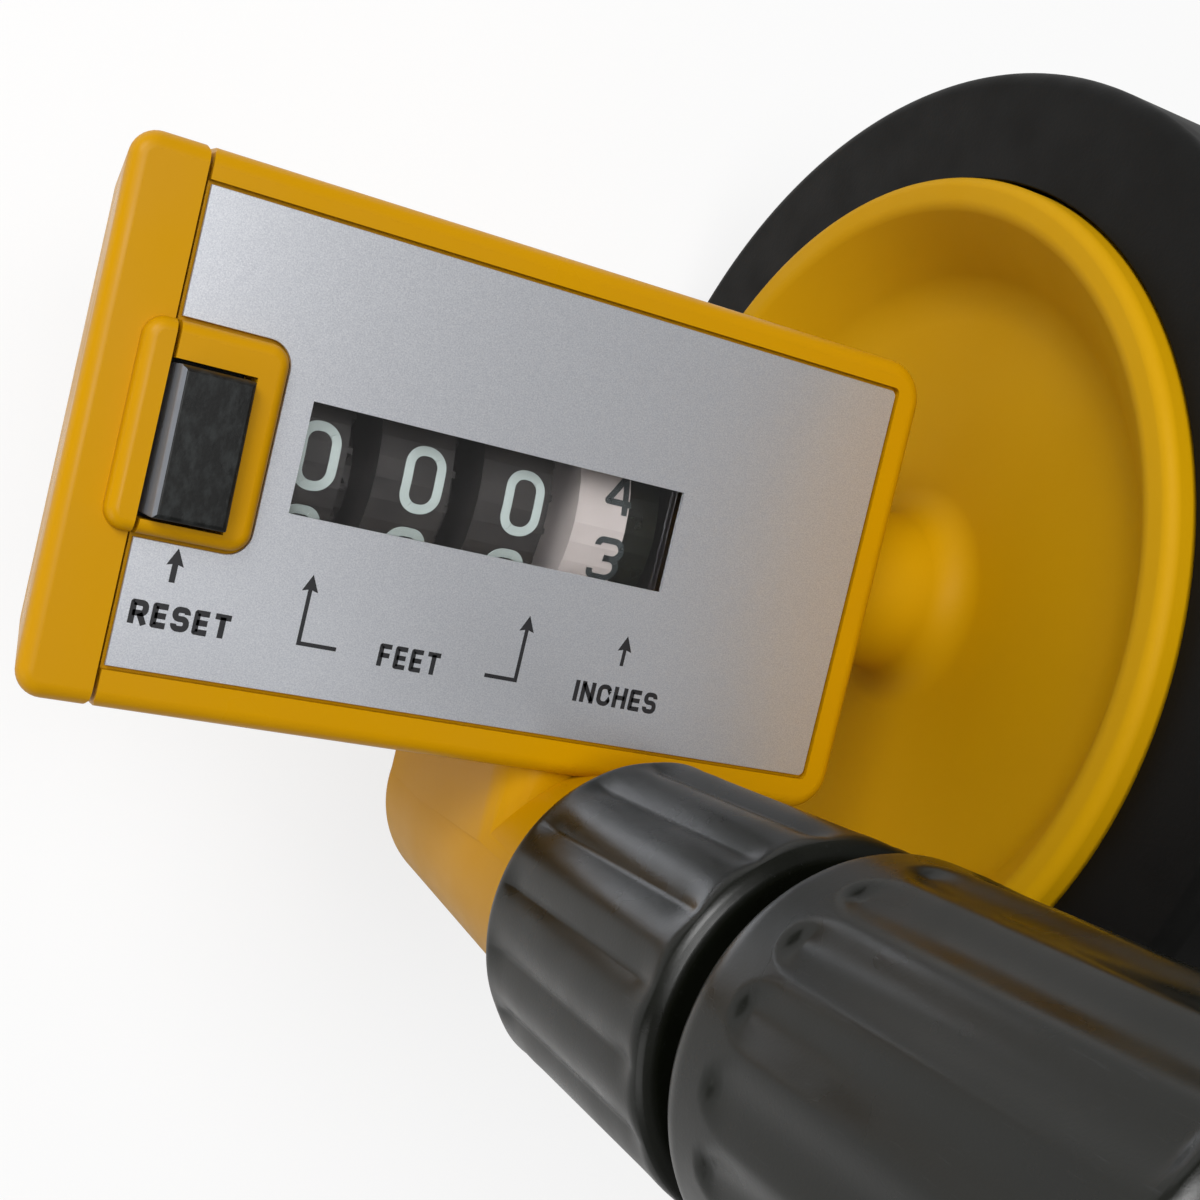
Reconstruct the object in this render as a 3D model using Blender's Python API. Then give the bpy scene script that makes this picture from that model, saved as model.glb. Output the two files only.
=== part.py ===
"""A small hand-held measuring wheel with a telescopic handle and a push-button reset counter.

Units are metres and +Z is up. +X runs along the axle towards the wheel, and +Y points forward,
away from the person who reads the counter. The tyre's lowest point is at Z = 0, and the origin
is below the middle of the whole instrument, with its handle pushed in.

Sizes across the case are given from the middle of its label, along +X. Depths are given from
the case's front face, along +Z, so what lies inside the case has a negative depth.
"""

import math

import bmesh
import bpy
from mathutils import Matrix, Vector

MM = 0.001

# General clearances and helpers
GAP = 0.3 * MM
RUNNING_GAP = 0.2 * MM
OVERRUN = 4.0 * MM
FUSE = 0.4 * MM
FINE_STEPS = 72
ROUND_STEPS = 40
SMALL_STEPS = 20
TINY_STEPS = 12
SHARP_ANGLE = math.radians(32)
RIM_ANGLE = math.radians(60)
SNAP_SHARE = 1e-4

# Wheel: one turn rolls one foot
WHEEL_CIRCUMFERENCE = 304.8 * MM
TYRE_THICKNESS = 10.03 * MM
TYRE_WIDTH = 12.7 * MM
TYRE_NEAR_X = 40.87 * MM
TYRE_EDGE = 1.5 * MM
DISC_LIP_PROUD = 2.2 * MM
DISC_LIP_WIDTH = 2.4 * MM
DISC_BAND = 7.3 * MM
DISC_WEB = 3.0 * MM
DISC_WEB_SINK = 7.0 * MM
BOSS_R = 6.8 * MM
BOSS_FILLET = 3.0 * MM
HUB_FAR_R = 8.2 * MM
HUB_FAR_PROUD = 3.6 * MM
TYRE_R = WHEEL_CIRCUMFERENCE / (2 * math.pi)
RIM_R = TYRE_R - TYRE_THICKNESS
TYRE_FAR_X = TYRE_NEAR_X + TYRE_WIDTH

# Axle
AXLE_R = 3.0 * MM
AXLE_INNER_R = 2.5 * MM
AXLE_DEPTH = -12.5 * MM
AXLE_CHAMFER = 0.5 * MM
NUT_FLATS = 10.0 * MM
NUT_HEIGHT = 4.4 * MM
WASHER_R = 7.0 * MM
WASHER_THICKNESS = 1.0 * MM
AXLE_PAST_NUT = 1.0 * MM

# Case
CAP_WIDTH = 5.5 * MM
CASE_RIGHT_X = 32.7 * MM
CASE_TOP_Y = 19.1 * MM
CASE_BOTTOM_Y = -19.6 * MM
CASE_BACK_ROOM = 2.1 * MM
CASE_WALL = 1.9 * MM
CASE_CORNER_R = 3.4 * MM
LEFT_CORNER_R = 2.0 * MM
LEFT_TAPER_SHARE = 0.2
FRONT_EDGE_R = 1.3 * MM
BACK_EDGE_R = 1.8 * MM
FRONT_WALL = 2.0 * MM
NOTCH_DEPTH = 0.75 * MM
CAP_PLUG_DEPTH = 1.5 * MM
CAP_PLUG_WALL = 1.4 * MM
CAP_LUG = 5.0 * MM

# Label, window and lens
LABEL_WIDTH = 59.4 * MM
LABEL_HEIGHT = 33.1 * MM
LABEL_THICKNESS = 0.3 * MM
LABEL_SINK = 0.05 * MM
LABEL_CORNER_R = 0.5 * MM
WINDOW_PAST_DRUM = 1.86 * MM
WINDOW_RIGHT_X = 11.86 * MM
WINDOW_BOTTOM_Y = -3.90 * MM
WINDOW_TOP_Y = 4.15 * MM
LENS_THICKNESS = 0.55 * MM
WINDOW_MARGIN = 1.3 * MM
LENS_MARGIN = 1.9 * MM

# Reset button, its raised surround and its spring
BUTTON_WIDTH = 5.2 * MM
BUTTON_TO_PLATE = 1.1 * MM
BUTTON_TO_PARTING = 0.4 * MM
BUTTON_BOTTOM_Y = -5.95 * MM
BUTTON_TOP_Y = 4.45 * MM
BUTTON_PROUD = 3.0 * MM
BUTTON_EDGE_R = 0.55 * MM
BUTTON_TRAVEL = 3.0 * MM
FLANGE_THICKNESS = 1.0 * MM
FLANGE_MARGIN = 0.8 * MM
FLANGE_SIDE_MARGIN = 0.4 * MM
SURROUND_LEFT_RAIL = 2.6 * MM
SURROUND_RIGHT_RAIL = 2.5 * MM
SURROUND_BOTTOM_Y = -7.3 * MM
SURROUND_TOP_Y = 7.3 * MM
SURROUND_PROUD = 1.2 * MM
SURROUND_CORNER_R = 1.5 * MM
SURROUND_EDGE_R = 0.5 * MM
STEM_R = 1.2 * MM
SHELF_THICKNESS = 1.2 * MM
SHELF_HALF_WIDTH = 5.0 * MM
SPRING_ROOM = 3.7 * MM
SPRING_WIRE_R = 0.25 * MM
SPRING_COIL_R = 2.1 * MM
SPRING_TURNS = 4
SPRING_POINTS = 9

# Counter
DRUM_R = 10.0 * MM
DRUM_PITCH = 8.45 * MM
DRUM_GAP = 2.45 * MM
ONES_X = -1.4 * MM
INCH_LEFT_X = 4.1 * MM
INCH_WIDTH = 4.6 * MM
GEAR_WIDTH = 0.9 * MM
CAM_WIDTH = 0.9 * MM
CAM_LOW_R = 3.6 * MM
CAM_HIGH_R = 6.8 * MM
GEAR_MODULE = 0.8 * MM
GEAR_TEETH = 20
PINION_TEETH = 8
GEAR_ADDENDUM_SHARE = 0.75
GEAR_DEDENDUM_SHARE = 1.12
TOOTH_TIP_SHARE = 0.18
TOOTH_ROOT_SHARE = 0.52
PINION_SHAFT_R = 1.0 * MM
CLUTCH_R = 9.2 * MM
CLUTCH_WIDTH = 2.9 * MM
PLATE_THICKNESS = 0.8 * MM
PLATE_BOTTOM_Y = -14.2 * MM
PLATE_FOOT = 6.0 * MM
PLATE_FOOT_HALF = 4.0 * MM
FOOT_THICKNESS = 1.0 * MM
SPACER_R = 4.5 * MM
BUSH_R = 4.2 * MM
BUSH_FLANGE_R = 6.2 * MM
BUSH_FLANGE_THICKNESS = 1.1 * MM
CLIP_R = 4.3 * MM
CLIP_THICKNESS = 0.5 * MM
CLIP_MOUTH = 3.4 * MM
MOUTH_ANGLE = 90
FULL_TURN = 360

# Reset rocker
ROCKER_Y = 14.8 * MM
ROCKER_BELOW_AXLE = 7.0 * MM
ROCKER_R = 2.1 * MM
ROCKER_ROD_R = 1.0 * MM
HAMMER_WIDTH = 0.8 * MM
HAMMER_REACH_Y = 5.8 * MM
HAMMER_REACH_Z = 9.5 * MM
HAMMER_DEPTH = 2.4 * MM
PEDAL_WIDTH = 2.0 * MM
PEDAL_THICKNESS = 2.0 * MM
PEDAL_PAST_STEM = 1.6 * MM

# Screws in the back of the case
SCREW_R = 1.0 * MM
SCREW_HEAD_R = 2.2 * MM
SCREW_HEAD_HEIGHT = 1.3 * MM
SCREW_GRIP = 3.0 * MM
CAP_SCREW_Y = -11.5 * MM

# Handle
HANDLE_X = 13.2 * MM
HANDLE_Y = -29.07 * MM
SOCKET_TOP = 4.7 * MM
SOCKET_TOP_R = 10.1 * MM
SOCKET_BASE_R = 9.25 * MM
SOCKET_BOTTOM = -26.2 * MM
SOCKET_EDGE_R = 1.6 * MM
SOCKET_LEAN = 2.65 * MM
SOCKET_FLOOR = 8.0 * MM
WEB_TOP = -1.4 * MM
PIN_DEPTH = -13.0 * MM
PIN_R = 1.5 * MM
INNER_TUBE_R = 6.35 * MM
MIDDLE_TUBE_R = 9.5 * MM
OUTER_TUBE_R = 11.2 * MM
INNER_WALL = 1.0 * MM
MIDDLE_WALL = 1.0 * MM
OUTER_WALL = 1.2 * MM
INNER_TUBE_TOP = 345.0 * MM
MIDDLE_TUBE_TOP = 375.0 * MM
OUTER_TUBE_TOP = 398.0 * MM
BUSH_HEAD = 4.0 * MM
BUSH_STEM = 5.0 * MM
BUSH_WALL = 1.5 * MM
COLLAR_LIP = 2.0 * MM
COLLAR_LENGTH = 25.5 * MM
COLLAR_LOW_R = 12.95 * MM
COLLAR_HIGH_R = 13.85 * MM
COLLAR_GAP = 2.5 * MM
COLLAR_ROUND = 1.6 * MM
COLLET_LENGTH = 7.4 * MM
COLLET_WALL = 3.75 * MM
UPPER_COLLET_WALL = 2.1 * MM
UPPER_COLLAR_LENGTH = 38.0 * MM
UPPER_COLLAR_LOW_R = 14.2 * MM
UPPER_COLLAR_HIGH_R = 15.0 * MM
UPPER_COLLAR_ROUND = 2.6 * MM
UPPER_PLAIN = 4.0 * MM
FLUTES = 16
FLUTE_DEPTH = 0.45 * MM
RIBS = 18
RIB_DEPTH = 0.55 * MM
GRIP_LENGTH = 110.0 * MM
GRIP_WALL = 3.4 * MM
GRIP_ROUND = 2.5 * MM
PLUG_STEM = 12.0 * MM
PLUG_HEAD = 3.2 * MM
PLUG_ROUND = 1.2 * MM

# Places worked out from the sizes above
HUB_FAR_X = TYRE_NEAR_X + DISC_WEB_SINK - DISC_LIP_PROUD + DISC_WEB + HUB_FAR_PROUD
NUT_NEAR_X = HUB_FAR_X + GAP + WASHER_THICKNESS + GAP
AXLE_FAR_X = NUT_NEAR_X + NUT_HEIGHT + AXLE_PAST_NUT
DISC_FAR_LIP_X = TYRE_FAR_X + DISC_LIP_PROUD
RIGHTMOST_X = max(AXLE_FAR_X, DISC_FAR_LIP_X)
FACE_Z = TYRE_R - AXLE_DEPTH
CASE_DEPTH = DRUM_R - AXLE_DEPTH + CASE_BACK_ROOM + CASE_WALL
CAVITY_TOP_Y = CASE_TOP_Y - CASE_WALL
CAVITY_BOTTOM_Y = CASE_BOTTOM_Y + CASE_WALL
CAVITY_RIGHT_X = CASE_RIGHT_X - CASE_WALL
CAVITY_FLOOR = CASE_WALL - CASE_DEPTH
DRUM_WIDTH = DRUM_PITCH - DRUM_GAP
DRUM_XS = {
    "feet_ones_drum": ONES_X,
    "feet_tens_drum": ONES_X - DRUM_PITCH,
    "feet_hundreds_drum": ONES_X - 2 * DRUM_PITCH,
}
DRUM_LEFT_XS = {name: x - DRUM_WIDTH / 2 for name, x in DRUM_XS.items()}
DRUM_LEFT_XS["inch_drum"] = INCH_LEFT_X
LEFT_PLATE_X = DRUM_LEFT_XS["feet_hundreds_drum"] - CAM_WIDTH - GAP - PLATE_THICKNESS
WINDOW_LEFT_X = DRUM_LEFT_XS["feet_hundreds_drum"] + WINDOW_PAST_DRUM
BUTTON_RIGHT_X = LEFT_PLATE_X - BUTTON_TO_PLATE
BUTTON_LEFT_X = BUTTON_RIGHT_X - BUTTON_WIDTH
SURROUND_LEFT_X = BUTTON_LEFT_X - SURROUND_LEFT_RAIL
SURROUND_RIGHT_X = BUTTON_RIGHT_X + SURROUND_RIGHT_RAIL
PARTING_X = BUTTON_LEFT_X - BUTTON_TO_PARTING
CASE_LEFT_X = PARTING_X - CAP_WIDTH
MIDDLE_X = (CASE_LEFT_X + RIGHTMOST_X) / 2
CLUTCH_X = INCH_LEFT_X + INCH_WIDTH + GAP
RIGHT_PLATE_X = CLUTCH_X + CLUTCH_WIDTH + 2 * GAP
PLATE_TOP_Y = CAVITY_TOP_Y - GAP
PITCH_R = GEAR_MODULE * GEAR_TEETH / 2
PINION_PITCH_R = GEAR_MODULE * PINION_TEETH / 2
PINION_Y = -(PITCH_R + PINION_PITCH_R)
ROCKER_DEPTH = AXLE_DEPTH - ROCKER_BELOW_AXLE
STEM_X = (BUTTON_LEFT_X + BUTTON_RIGHT_X) / 2
STEM_Y = (BUTTON_BOTTOM_Y + BUTTON_TOP_Y) / 2
FLANGE_TOP = -FRONT_WALL - GAP
FLANGE_BOTTOM = FLANGE_TOP - FLANGE_THICKNESS
SHELF_DEPTH = FLANGE_BOTTOM - BUTTON_TRAVEL - SPRING_ROOM
PEDAL_TOP = ROCKER_DEPTH + PEDAL_THICKNESS / 2
STEM_BOTTOM = PEDAL_TOP + GAP + RUNNING_GAP
BUSH_FLANGE_X = CASE_RIGHT_X + GAP
BOSS_NEAR_X = BUSH_FLANGE_X + BUSH_FLANGE_THICKNESS + GAP
AXLE_LEFT_X = LEFT_PLATE_X - GAP - CLIP_THICKNESS - GAP
COLLAR_BOTTOM = SOCKET_TOP + GAP
COLLAR_TOP = COLLAR_BOTTOM + COLLAR_LENGTH
UPPER_BOTTOM = COLLAR_TOP + COLLAR_GAP
UPPER_TOP = UPPER_BOTTOM + UPPER_COLLAR_LENGTH
MIDDLE_TUBE_BOTTOM = COLLAR_BOTTOM + COLLAR_LIP + GAP + COLLET_LENGTH + GAP
OUTER_TUBE_BOTTOM = UPPER_BOTTOM + COLLAR_LIP + GAP + COLLET_LENGTH + GAP
COLLET_R = INNER_TUBE_R + GAP + COLLET_WALL
UPPER_COLLET_R = MIDDLE_TUBE_R + GAP + UPPER_COLLET_WALL
GRIP_BOTTOM = OUTER_TUBE_TOP - GRIP_LENGTH
GRIP_R = OUTER_TUBE_R + GAP + GRIP_WALL

# Colours as linear red, green and blue
YELLOW = (0.62, 0.33, 0.0)
SILVER = (0.55, 0.56, 0.58)
BLACK = (0.02, 0.02, 0.02)
RUBBER = (0.015, 0.015, 0.015)
WHITE = (0.8, 0.79, 0.75)
STEEL = (0.5, 0.5, 0.5)
BRONZE = (0.5, 0.3, 0.12)
CLEAR = (0.9, 0.92, 0.93)
DARK_TUBE = (0.03, 0.03, 0.033)
ACETAL = (0.7, 0.68, 0.62)


def clear_scene():
    """Remove every object that the scene starts with."""
    for obj in list(bpy.data.objects):
        bpy.data.objects.remove(obj, do_unlink=True)


def material(name, colour, roughness, metallic=0.0):
    """A plain Principled surface, made once for each name."""
    found = bpy.data.materials.get(name)
    if found:
        return found
    made = bpy.data.materials.new(name)
    made.use_nodes = True
    shader = made.node_tree.nodes["Principled BSDF"]
    shader.inputs["Base Color"].default_value = (*colour, 1.0)
    shader.inputs["Roughness"].default_value = roughness
    shader.inputs["Metallic"].default_value = metallic
    return made


def at(x, y, depth):
    """A point of the world, from a place on the case and a depth below its front face."""
    return Vector((x - MIDDLE_X, y, FACE_Z + depth))


def finish_mesh(name, bm, surface):
    """Turn a bmesh into a named, smooth-shaded object with its faces pointing out."""
    bmesh.ops.recalc_face_normals(bm, faces=bm.faces)
    mesh = bpy.data.meshes.new(name)
    bm.to_mesh(mesh)
    bm.free()
    mesh.shade_smooth()
    mesh.set_sharp_from_angle(angle=SHARP_ANGLE)
    obj = bpy.data.objects.new(name, mesh)
    bpy.context.scene.collection.objects.link(obj)
    if surface:
        mesh.materials.append(surface)
    return obj


AXES = {
    "X": Matrix(((0, 0, 1), (1, 0, 0), (0, 1, 0))),
    "Y": Matrix(((0, 1, 0), (0, 0, 1), (1, 0, 0))),
    "Z": Matrix.Identity(3),
}


def turned(name, profile, axis, centre, surface=None, steps=ROUND_STEPS, waves=0, wave_depth=0.0):
    """Turn a profile of (radius, height) or (radius, height, wave share) points about an axis.

    A profile that starts and ends at radius 0 gives a solid. Any other is taken as a closed
    loop, which gives a ring. A wave share lets flutes cut in at that point of the profile.
    """
    turn = AXES[axis]
    bm = bmesh.new()
    rings = []
    for point in profile:
        radius, height = point[0], point[1]
        share = point[2] if len(point) > 2 else 0.0
        if radius == 0:
            rings.append([bm.verts.new(centre + turn @ Vector((0, 0, height)))])
            continue
        ring = []
        for step in range(steps):
            angle = 2 * math.pi * step / steps
            wave = (1 - math.cos(waves * angle)) / 2 if waves else 0.0
            r = radius - wave_depth * share * wave
            local = Vector((r * math.cos(angle), r * math.sin(angle), height))
            ring.append(bm.verts.new(centre + turn @ local))
        rings.append(ring)
    is_solid = profile[0][0] == 0
    pairs = list(zip(rings, rings[1:]))
    if not is_solid:
        pairs.append((rings[-1], rings[0]))
    for low, high in pairs:
        for step in range(steps):
            after = (step + 1) % steps
            corners = [low[step % len(low)], low[after % len(low)]]
            corners += [high[after % len(high)], high[step % len(high)]]
            bm.faces.new(list(dict.fromkeys(corners)))
    return finish_mesh(name, bm, surface)


def prism(name, outline, low, high, axis, centre, surface=None):
    """Extrude a closed outline of two coordinates along an axis, between two heights."""
    turn = AXES[axis]
    bm = bmesh.new()
    ends = []
    for height in (low, high):
        ends.append([bm.verts.new(centre + turn @ Vector((a, b, height))) for a, b in outline])
    bm.faces.new(ends[0])
    bm.faces.new(ends[1])
    count = len(outline)
    for i in range(count):
        after = (i + 1) % count
        bm.faces.new((ends[0][i], ends[0][after], ends[1][after], ends[1][i]))
    return finish_mesh(name, bm, surface)


def bevel_edges(bm, test, width, segments):
    """Round the edges whose two ends pass the test and that stand between unlike faces."""
    chosen = []
    for edge in bm.edges:
        if not all(test(vert.co) for vert in edge.verts) or len(edge.link_faces) != 2:
            continue
        if edge.link_faces[0].normal.dot(edge.link_faces[1].normal) < math.cos(RIM_ANGLE):
            chosen.append(edge)
    round_off(bm, chosen, width, segments)


def round_off(bm, edges, width, segments):
    """Round the given edges, no wider than their faces allow."""
    bmesh.ops.bevel(
        bm,
        geom=edges,
        offset=width,
        segments=segments,
        profile=0.5,
        affect="EDGES",
        clamp_overlap=True,
    )
    bm.normal_update()


def runs_along(edge, axis):
    """Whether an edge runs along an axis."""
    along = (edge.verts[0].co - edge.verts[1].co).normalized()[axis]
    return abs(abs(along) - 1) < SNAP_SHARE


def block(name, low, high, surface=None, roundings=()):
    """A box between two corners. Each rounding is (which, radius, segments), with which one of
    X, Y or Z for the edges along that axis, Z< or Z> for those along Z on the low or the high X
    side, or +X, -Z and so on for the rim of that face."""
    bm = bmesh.new()
    bmesh.ops.create_cube(bm, size=1.0)
    middle = (Vector(low) + Vector(high)) / 2
    size = Vector(high) - Vector(low)
    for vert in bm.verts:
        vert.co = Vector(a * b for a, b in zip(vert.co, size)) + middle
    bm.normal_update()
    for which, radius, segments in roundings:
        axis = "XYZ".index(which.strip("+-<>"))
        if which[0] in "+-":
            level = high[axis] if which[0] == "+" else low[axis]
            near = SNAP_SHARE * size[axis]
            bevel_edges(bm, lambda co, a=axis, l=level, n=near: abs(co[a] - l) < n, radius, segments)
            continue
        chosen = [edge for edge in bm.edges if runs_along(edge, axis)]
        if which[-1] == "<":
            chosen = [edge for edge in chosen if edge.verts[0].co.x < middle.x]
        if which[-1] == ">":
            chosen = [edge for edge in chosen if edge.verts[0].co.x > middle.x]
        round_off(bm, chosen, radius, segments)
    if roundings:
        bmesh.ops.triangulate(bm, faces=bm.faces)
    return finish_mesh(name, bm, surface)


def taper_left(obj):
    """Lean the left side of the case's block inwards, towards its back."""
    middle = at(0, 0, 0)
    for vert in obj.data.vertices:
        if vert.co.x < middle.x:
            vert.co.x += LEFT_TAPER_SHARE * (middle.z - vert.co.z)


def combine(target, operation, *others):
    """Join other shapes to an object, or cut them from it, and hide them from the render."""
    for other in others:
        modifier = target.modifiers.new(f"{operation.lower()} {other.name}", "BOOLEAN")
        modifier.operation = operation
        modifier.solver = "EXACT"
        modifier.object = other
        other.hide_render = True
        other.display_type = "WIRE"


def pivot(obj, point):
    """Put an object's origin on its joint's axis and leave its shape where it is."""
    obj.data.transform(Matrix.Translation(-point))
    obj.location = point


def carrier(name, point, *objects):
    """An empty on a joint's axis that carries the objects of one moving body."""
    empty = bpy.data.objects.new(name, None)
    empty.location = point
    empty.empty_display_size = DRUM_R
    bpy.context.scene.collection.objects.link(empty)
    for obj in objects:
        obj.parent = empty
        obj.matrix_parent_inverse = Matrix.Translation(-point)
    return empty


def arc(centre, radius, start, end, count):
    """Points of an arc about (a, b), with both ends, from one angle in degrees to another."""
    points = []
    for i in range(count):
        angle = math.radians(start + (end - start) * i / (count - 1))
        points.append((centre[0] + radius * math.cos(angle), centre[1] + radius * math.sin(angle)))
    return points


def circle(radius, steps=SMALL_STEPS, centre=(0.0, 0.0)):
    """The outline of a circle."""
    points = []
    for i in range(steps):
        angle = 2 * math.pi * i / steps
        points.append((centre[0] + radius * math.cos(angle), centre[1] + radius * math.sin(angle)))
    return points


def rectangle(low_a, low_b, high_a, high_b):
    """The outline of a rectangle."""
    return [(low_a, low_b), (high_a, low_b), (high_a, high_b), (low_a, high_b)]


def gear_outline(teeth, first_angle):
    """A wheel of plain straight-sided teeth, each thinner than its space so that it runs free."""
    pitch_r = GEAR_MODULE * teeth / 2
    tip_r = pitch_r + GEAR_ADDENDUM_SHARE * GEAR_MODULE
    root_r = pitch_r - GEAR_DEDENDUM_SHARE * GEAR_MODULE
    pitch = math.pi * GEAR_MODULE
    tip = TOOTH_TIP_SHARE * pitch / 2 / tip_r
    root = TOOTH_ROOT_SHARE * pitch / 2 / root_r
    points = []
    for tooth in range(teeth):
        middle = first_angle + 2 * math.pi * tooth / teeth
        for radius, angle in ((root_r, -root), (tip_r, -tip), (tip_r, tip), (root_r, root)):
            points.append((radius * math.cos(middle + angle), radius * math.sin(middle + angle)))
    return points


def heart_outline(low_angle):
    """A heart cam, whose radius grows evenly both ways from its low point."""
    points = []
    for i in range(SMALL_STEPS):
        turn = 2 * math.pi * i / SMALL_STEPS - math.pi
        radius = CAM_LOW_R + (CAM_HIGH_R - CAM_LOW_R) * abs(turn) / math.pi
        points.append((radius * math.cos(low_angle + turn), radius * math.sin(low_angle + turn)))
    return points


def make_case():
    """The housing shell, its end cap, the label and the window's lens."""
    yellow = material("yellow_abs", YELLOW, 0.35)
    silver = material("silver_label", SILVER, 0.4, 0.6)
    clear = material("clear_lens", CLEAR, 0.05)
    split_low = PARTING_X - GAP / 2
    split_high = PARTING_X + GAP / 2
    case_low = at(CASE_LEFT_X, CASE_BOTTOM_Y, -CASE_DEPTH)
    case_high = at(CASE_RIGHT_X, CASE_TOP_Y, 0)
    roundings = (
        ("Z<", LEFT_CORNER_R, 4),
        ("Z>", CASE_CORNER_R, 5),
        ("+Z", FRONT_EDGE_R, 3),
        ("-Z", BACK_EDGE_R, 4),
    )
    far = CASE_DEPTH + OVERRUN

    shell = block("housing_shell", case_low, case_high, yellow, roundings)
    taper_left(shell)
    left_slab = block("left_slab", at(CASE_LEFT_X - OVERRUN, CASE_BOTTOM_Y - OVERRUN, -far),
                      at(split_high, CASE_TOP_Y + OVERRUN, OVERRUN))
    cavity = block("case_cavity", at(CASE_LEFT_X - OVERRUN, CAVITY_BOTTOM_Y, CAVITY_FLOOR),
                   at(CAVITY_RIGHT_X, CAVITY_TOP_Y, -FRONT_WALL))

    handle = at(HANDLE_X, HANDLE_Y, 0)
    foot = arc((SOCKET_BASE_R - SOCKET_EDGE_R, SOCKET_BOTTOM + SOCKET_EDGE_R), SOCKET_EDGE_R, -90, 0, 5)
    socket = turned("socket_body", [(0, SOCKET_BOTTOM), *foot, (SOCKET_TOP_R, SOCKET_TOP), (0, SOCKET_TOP)],
                    "Z", handle)
    for vert in socket.data.vertices:
        vert.co.y += socket_middle(vert.co.z - FACE_Z) - HANDLE_Y
    flank = [(height + FUSE, radius - FUSE) for radius, height in foot]
    flank.append((WEB_TOP, socket_radius(WEB_TOP) - FUSE))
    flank += [(height, -half_width) for height, half_width in reversed(flank)]
    web = prism("socket_web", flank, HANDLE_Y + SOCKET_LEAN, CASE_BOTTOM_Y + CASE_WALL / 2, "Y",
                at(HANDLE_X, 0, 0))
    surround = block(
        "button_surround",
        at(PARTING_X - CASE_WALL, SURROUND_BOTTOM_Y, -FUSE),
        at(SURROUND_RIGHT_X, SURROUND_TOP_Y, SURROUND_PROUD),
        roundings=(("Z", SURROUND_CORNER_R, 4), ("+Z", SURROUND_EDGE_R, 2)),
    )
    label_half_x = LABEL_WIDTH / 2
    label_half_y = LABEL_HEIGHT / 2
    label_bottom = -LABEL_SINK - LABEL_THICKNESS
    recess_floor = label_bottom - GAP
    recess_outline = [
        (PARTING_X - OVERRUN - MIDDLE_X, -label_half_y - GAP),
        (label_half_x + GAP - MIDDLE_X, -label_half_y - GAP),
        (label_half_x + GAP - MIDDLE_X, label_half_y + GAP),
        (PARTING_X - OVERRUN - MIDDLE_X, label_half_y + GAP),
        (PARTING_X - OVERRUN - MIDDLE_X, SURROUND_TOP_Y),
    ]
    corner_x = SURROUND_RIGHT_X - SURROUND_CORNER_R - MIDDLE_X
    recess_outline += arc((corner_x, SURROUND_TOP_Y - SURROUND_CORNER_R), SURROUND_CORNER_R, 90, 0, 5)
    recess_outline += arc((corner_x, SURROUND_BOTTOM_Y + SURROUND_CORNER_R), SURROUND_CORNER_R, 0, -90, 5)
    recess_outline.append((PARTING_X - OVERRUN - MIDDLE_X, SURROUND_BOTTOM_Y))
    recess = prism("label_recess", recess_outline, recess_floor, OVERRUN, "Z", Vector((0, 0, FACE_Z)))
    rebate = block(
        "lens_rebate",
        at(WINDOW_LEFT_X - LENS_MARGIN - GAP, WINDOW_BOTTOM_Y - LENS_MARGIN - GAP,
           recess_floor - LENS_THICKNESS - GAP),
        at(WINDOW_RIGHT_X + LENS_MARGIN + GAP, WINDOW_TOP_Y + LENS_MARGIN + GAP, OVERRUN),
    )
    window = block(
        "window_hole",
        at(WINDOW_LEFT_X - WINDOW_MARGIN, WINDOW_BOTTOM_Y - WINDOW_MARGIN, -FRONT_WALL - OVERRUN),
        at(WINDOW_RIGHT_X + WINDOW_MARGIN, WINDOW_TOP_Y + WINDOW_MARGIN, OVERRUN),
    )
    button_hole = block(
        "button_hole",
        at(PARTING_X - OVERRUN, BUTTON_BOTTOM_Y - GAP, -FRONT_WALL - OVERRUN),
        at(BUTTON_RIGHT_X + GAP, BUTTON_TOP_Y + GAP, OVERRUN),
    )
    notches = []
    for end, edge_y, way in (("top", CASE_TOP_Y, 1), ("bottom", CASE_BOTTOM_Y, -1)):
        outside = edge_y + way * NOTCH_DEPTH
        corners = [
            (PARTING_X - NOTCH_DEPTH - MIDDLE_X, outside),
            (PARTING_X + NOTCH_DEPTH - MIDDLE_X, outside),
            (PARTING_X - MIDDLE_X, edge_y - way * NOTCH_DEPTH),
        ]
        notches.append(prism(f"parting_notch_{end}", corners, -far, OVERRUN, "Z", Vector((0, 0, FACE_Z))))
    bush_bore = turned("bush_bore", [(0, CAVITY_RIGHT_X - OVERRUN), (BUSH_R + GAP, CAVITY_RIGHT_X - OVERRUN),
                                     (BUSH_R + GAP, CASE_RIGHT_X + OVERRUN), (0, CASE_RIGHT_X + OVERRUN)],
                       "X", at(0, 0, AXLE_DEPTH), steps=SMALL_STEPS)
    tube_r = INNER_TUBE_R + GAP
    tube_low = SOCKET_BOTTOM + SOCKET_FLOOR
    tube_high = SOCKET_TOP + OVERRUN
    tube_bore = turned("tube_bore", [(0, tube_low), (tube_r, tube_low), (tube_r, tube_high), (0, tube_high)],
                       "Z", handle)
    pin_low, pin_high = pin_span()
    pin_hole = turned("pin_hole", [(0, pin_low - OVERRUN), (PIN_R + GAP, pin_low - OVERRUN),
                                   (PIN_R + GAP, pin_high + GAP), (0, pin_high + GAP)],
                      "Y", at(HANDLE_X, 0, PIN_DEPTH), steps=SMALL_STEPS)
    screw_holes = [screw_hole(*place) for place in screw_places()]
    combine(shell, "UNION", socket, web)
    combine(shell, "DIFFERENCE", cavity, recess)
    combine(shell, "UNION", surround)
    combine(shell, "DIFFERENCE", left_slab, rebate, window, button_hole, bush_bore, pin_hole)
    combine(shell, "DIFFERENCE", *notches, *screw_holes, tube_bore)

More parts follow.
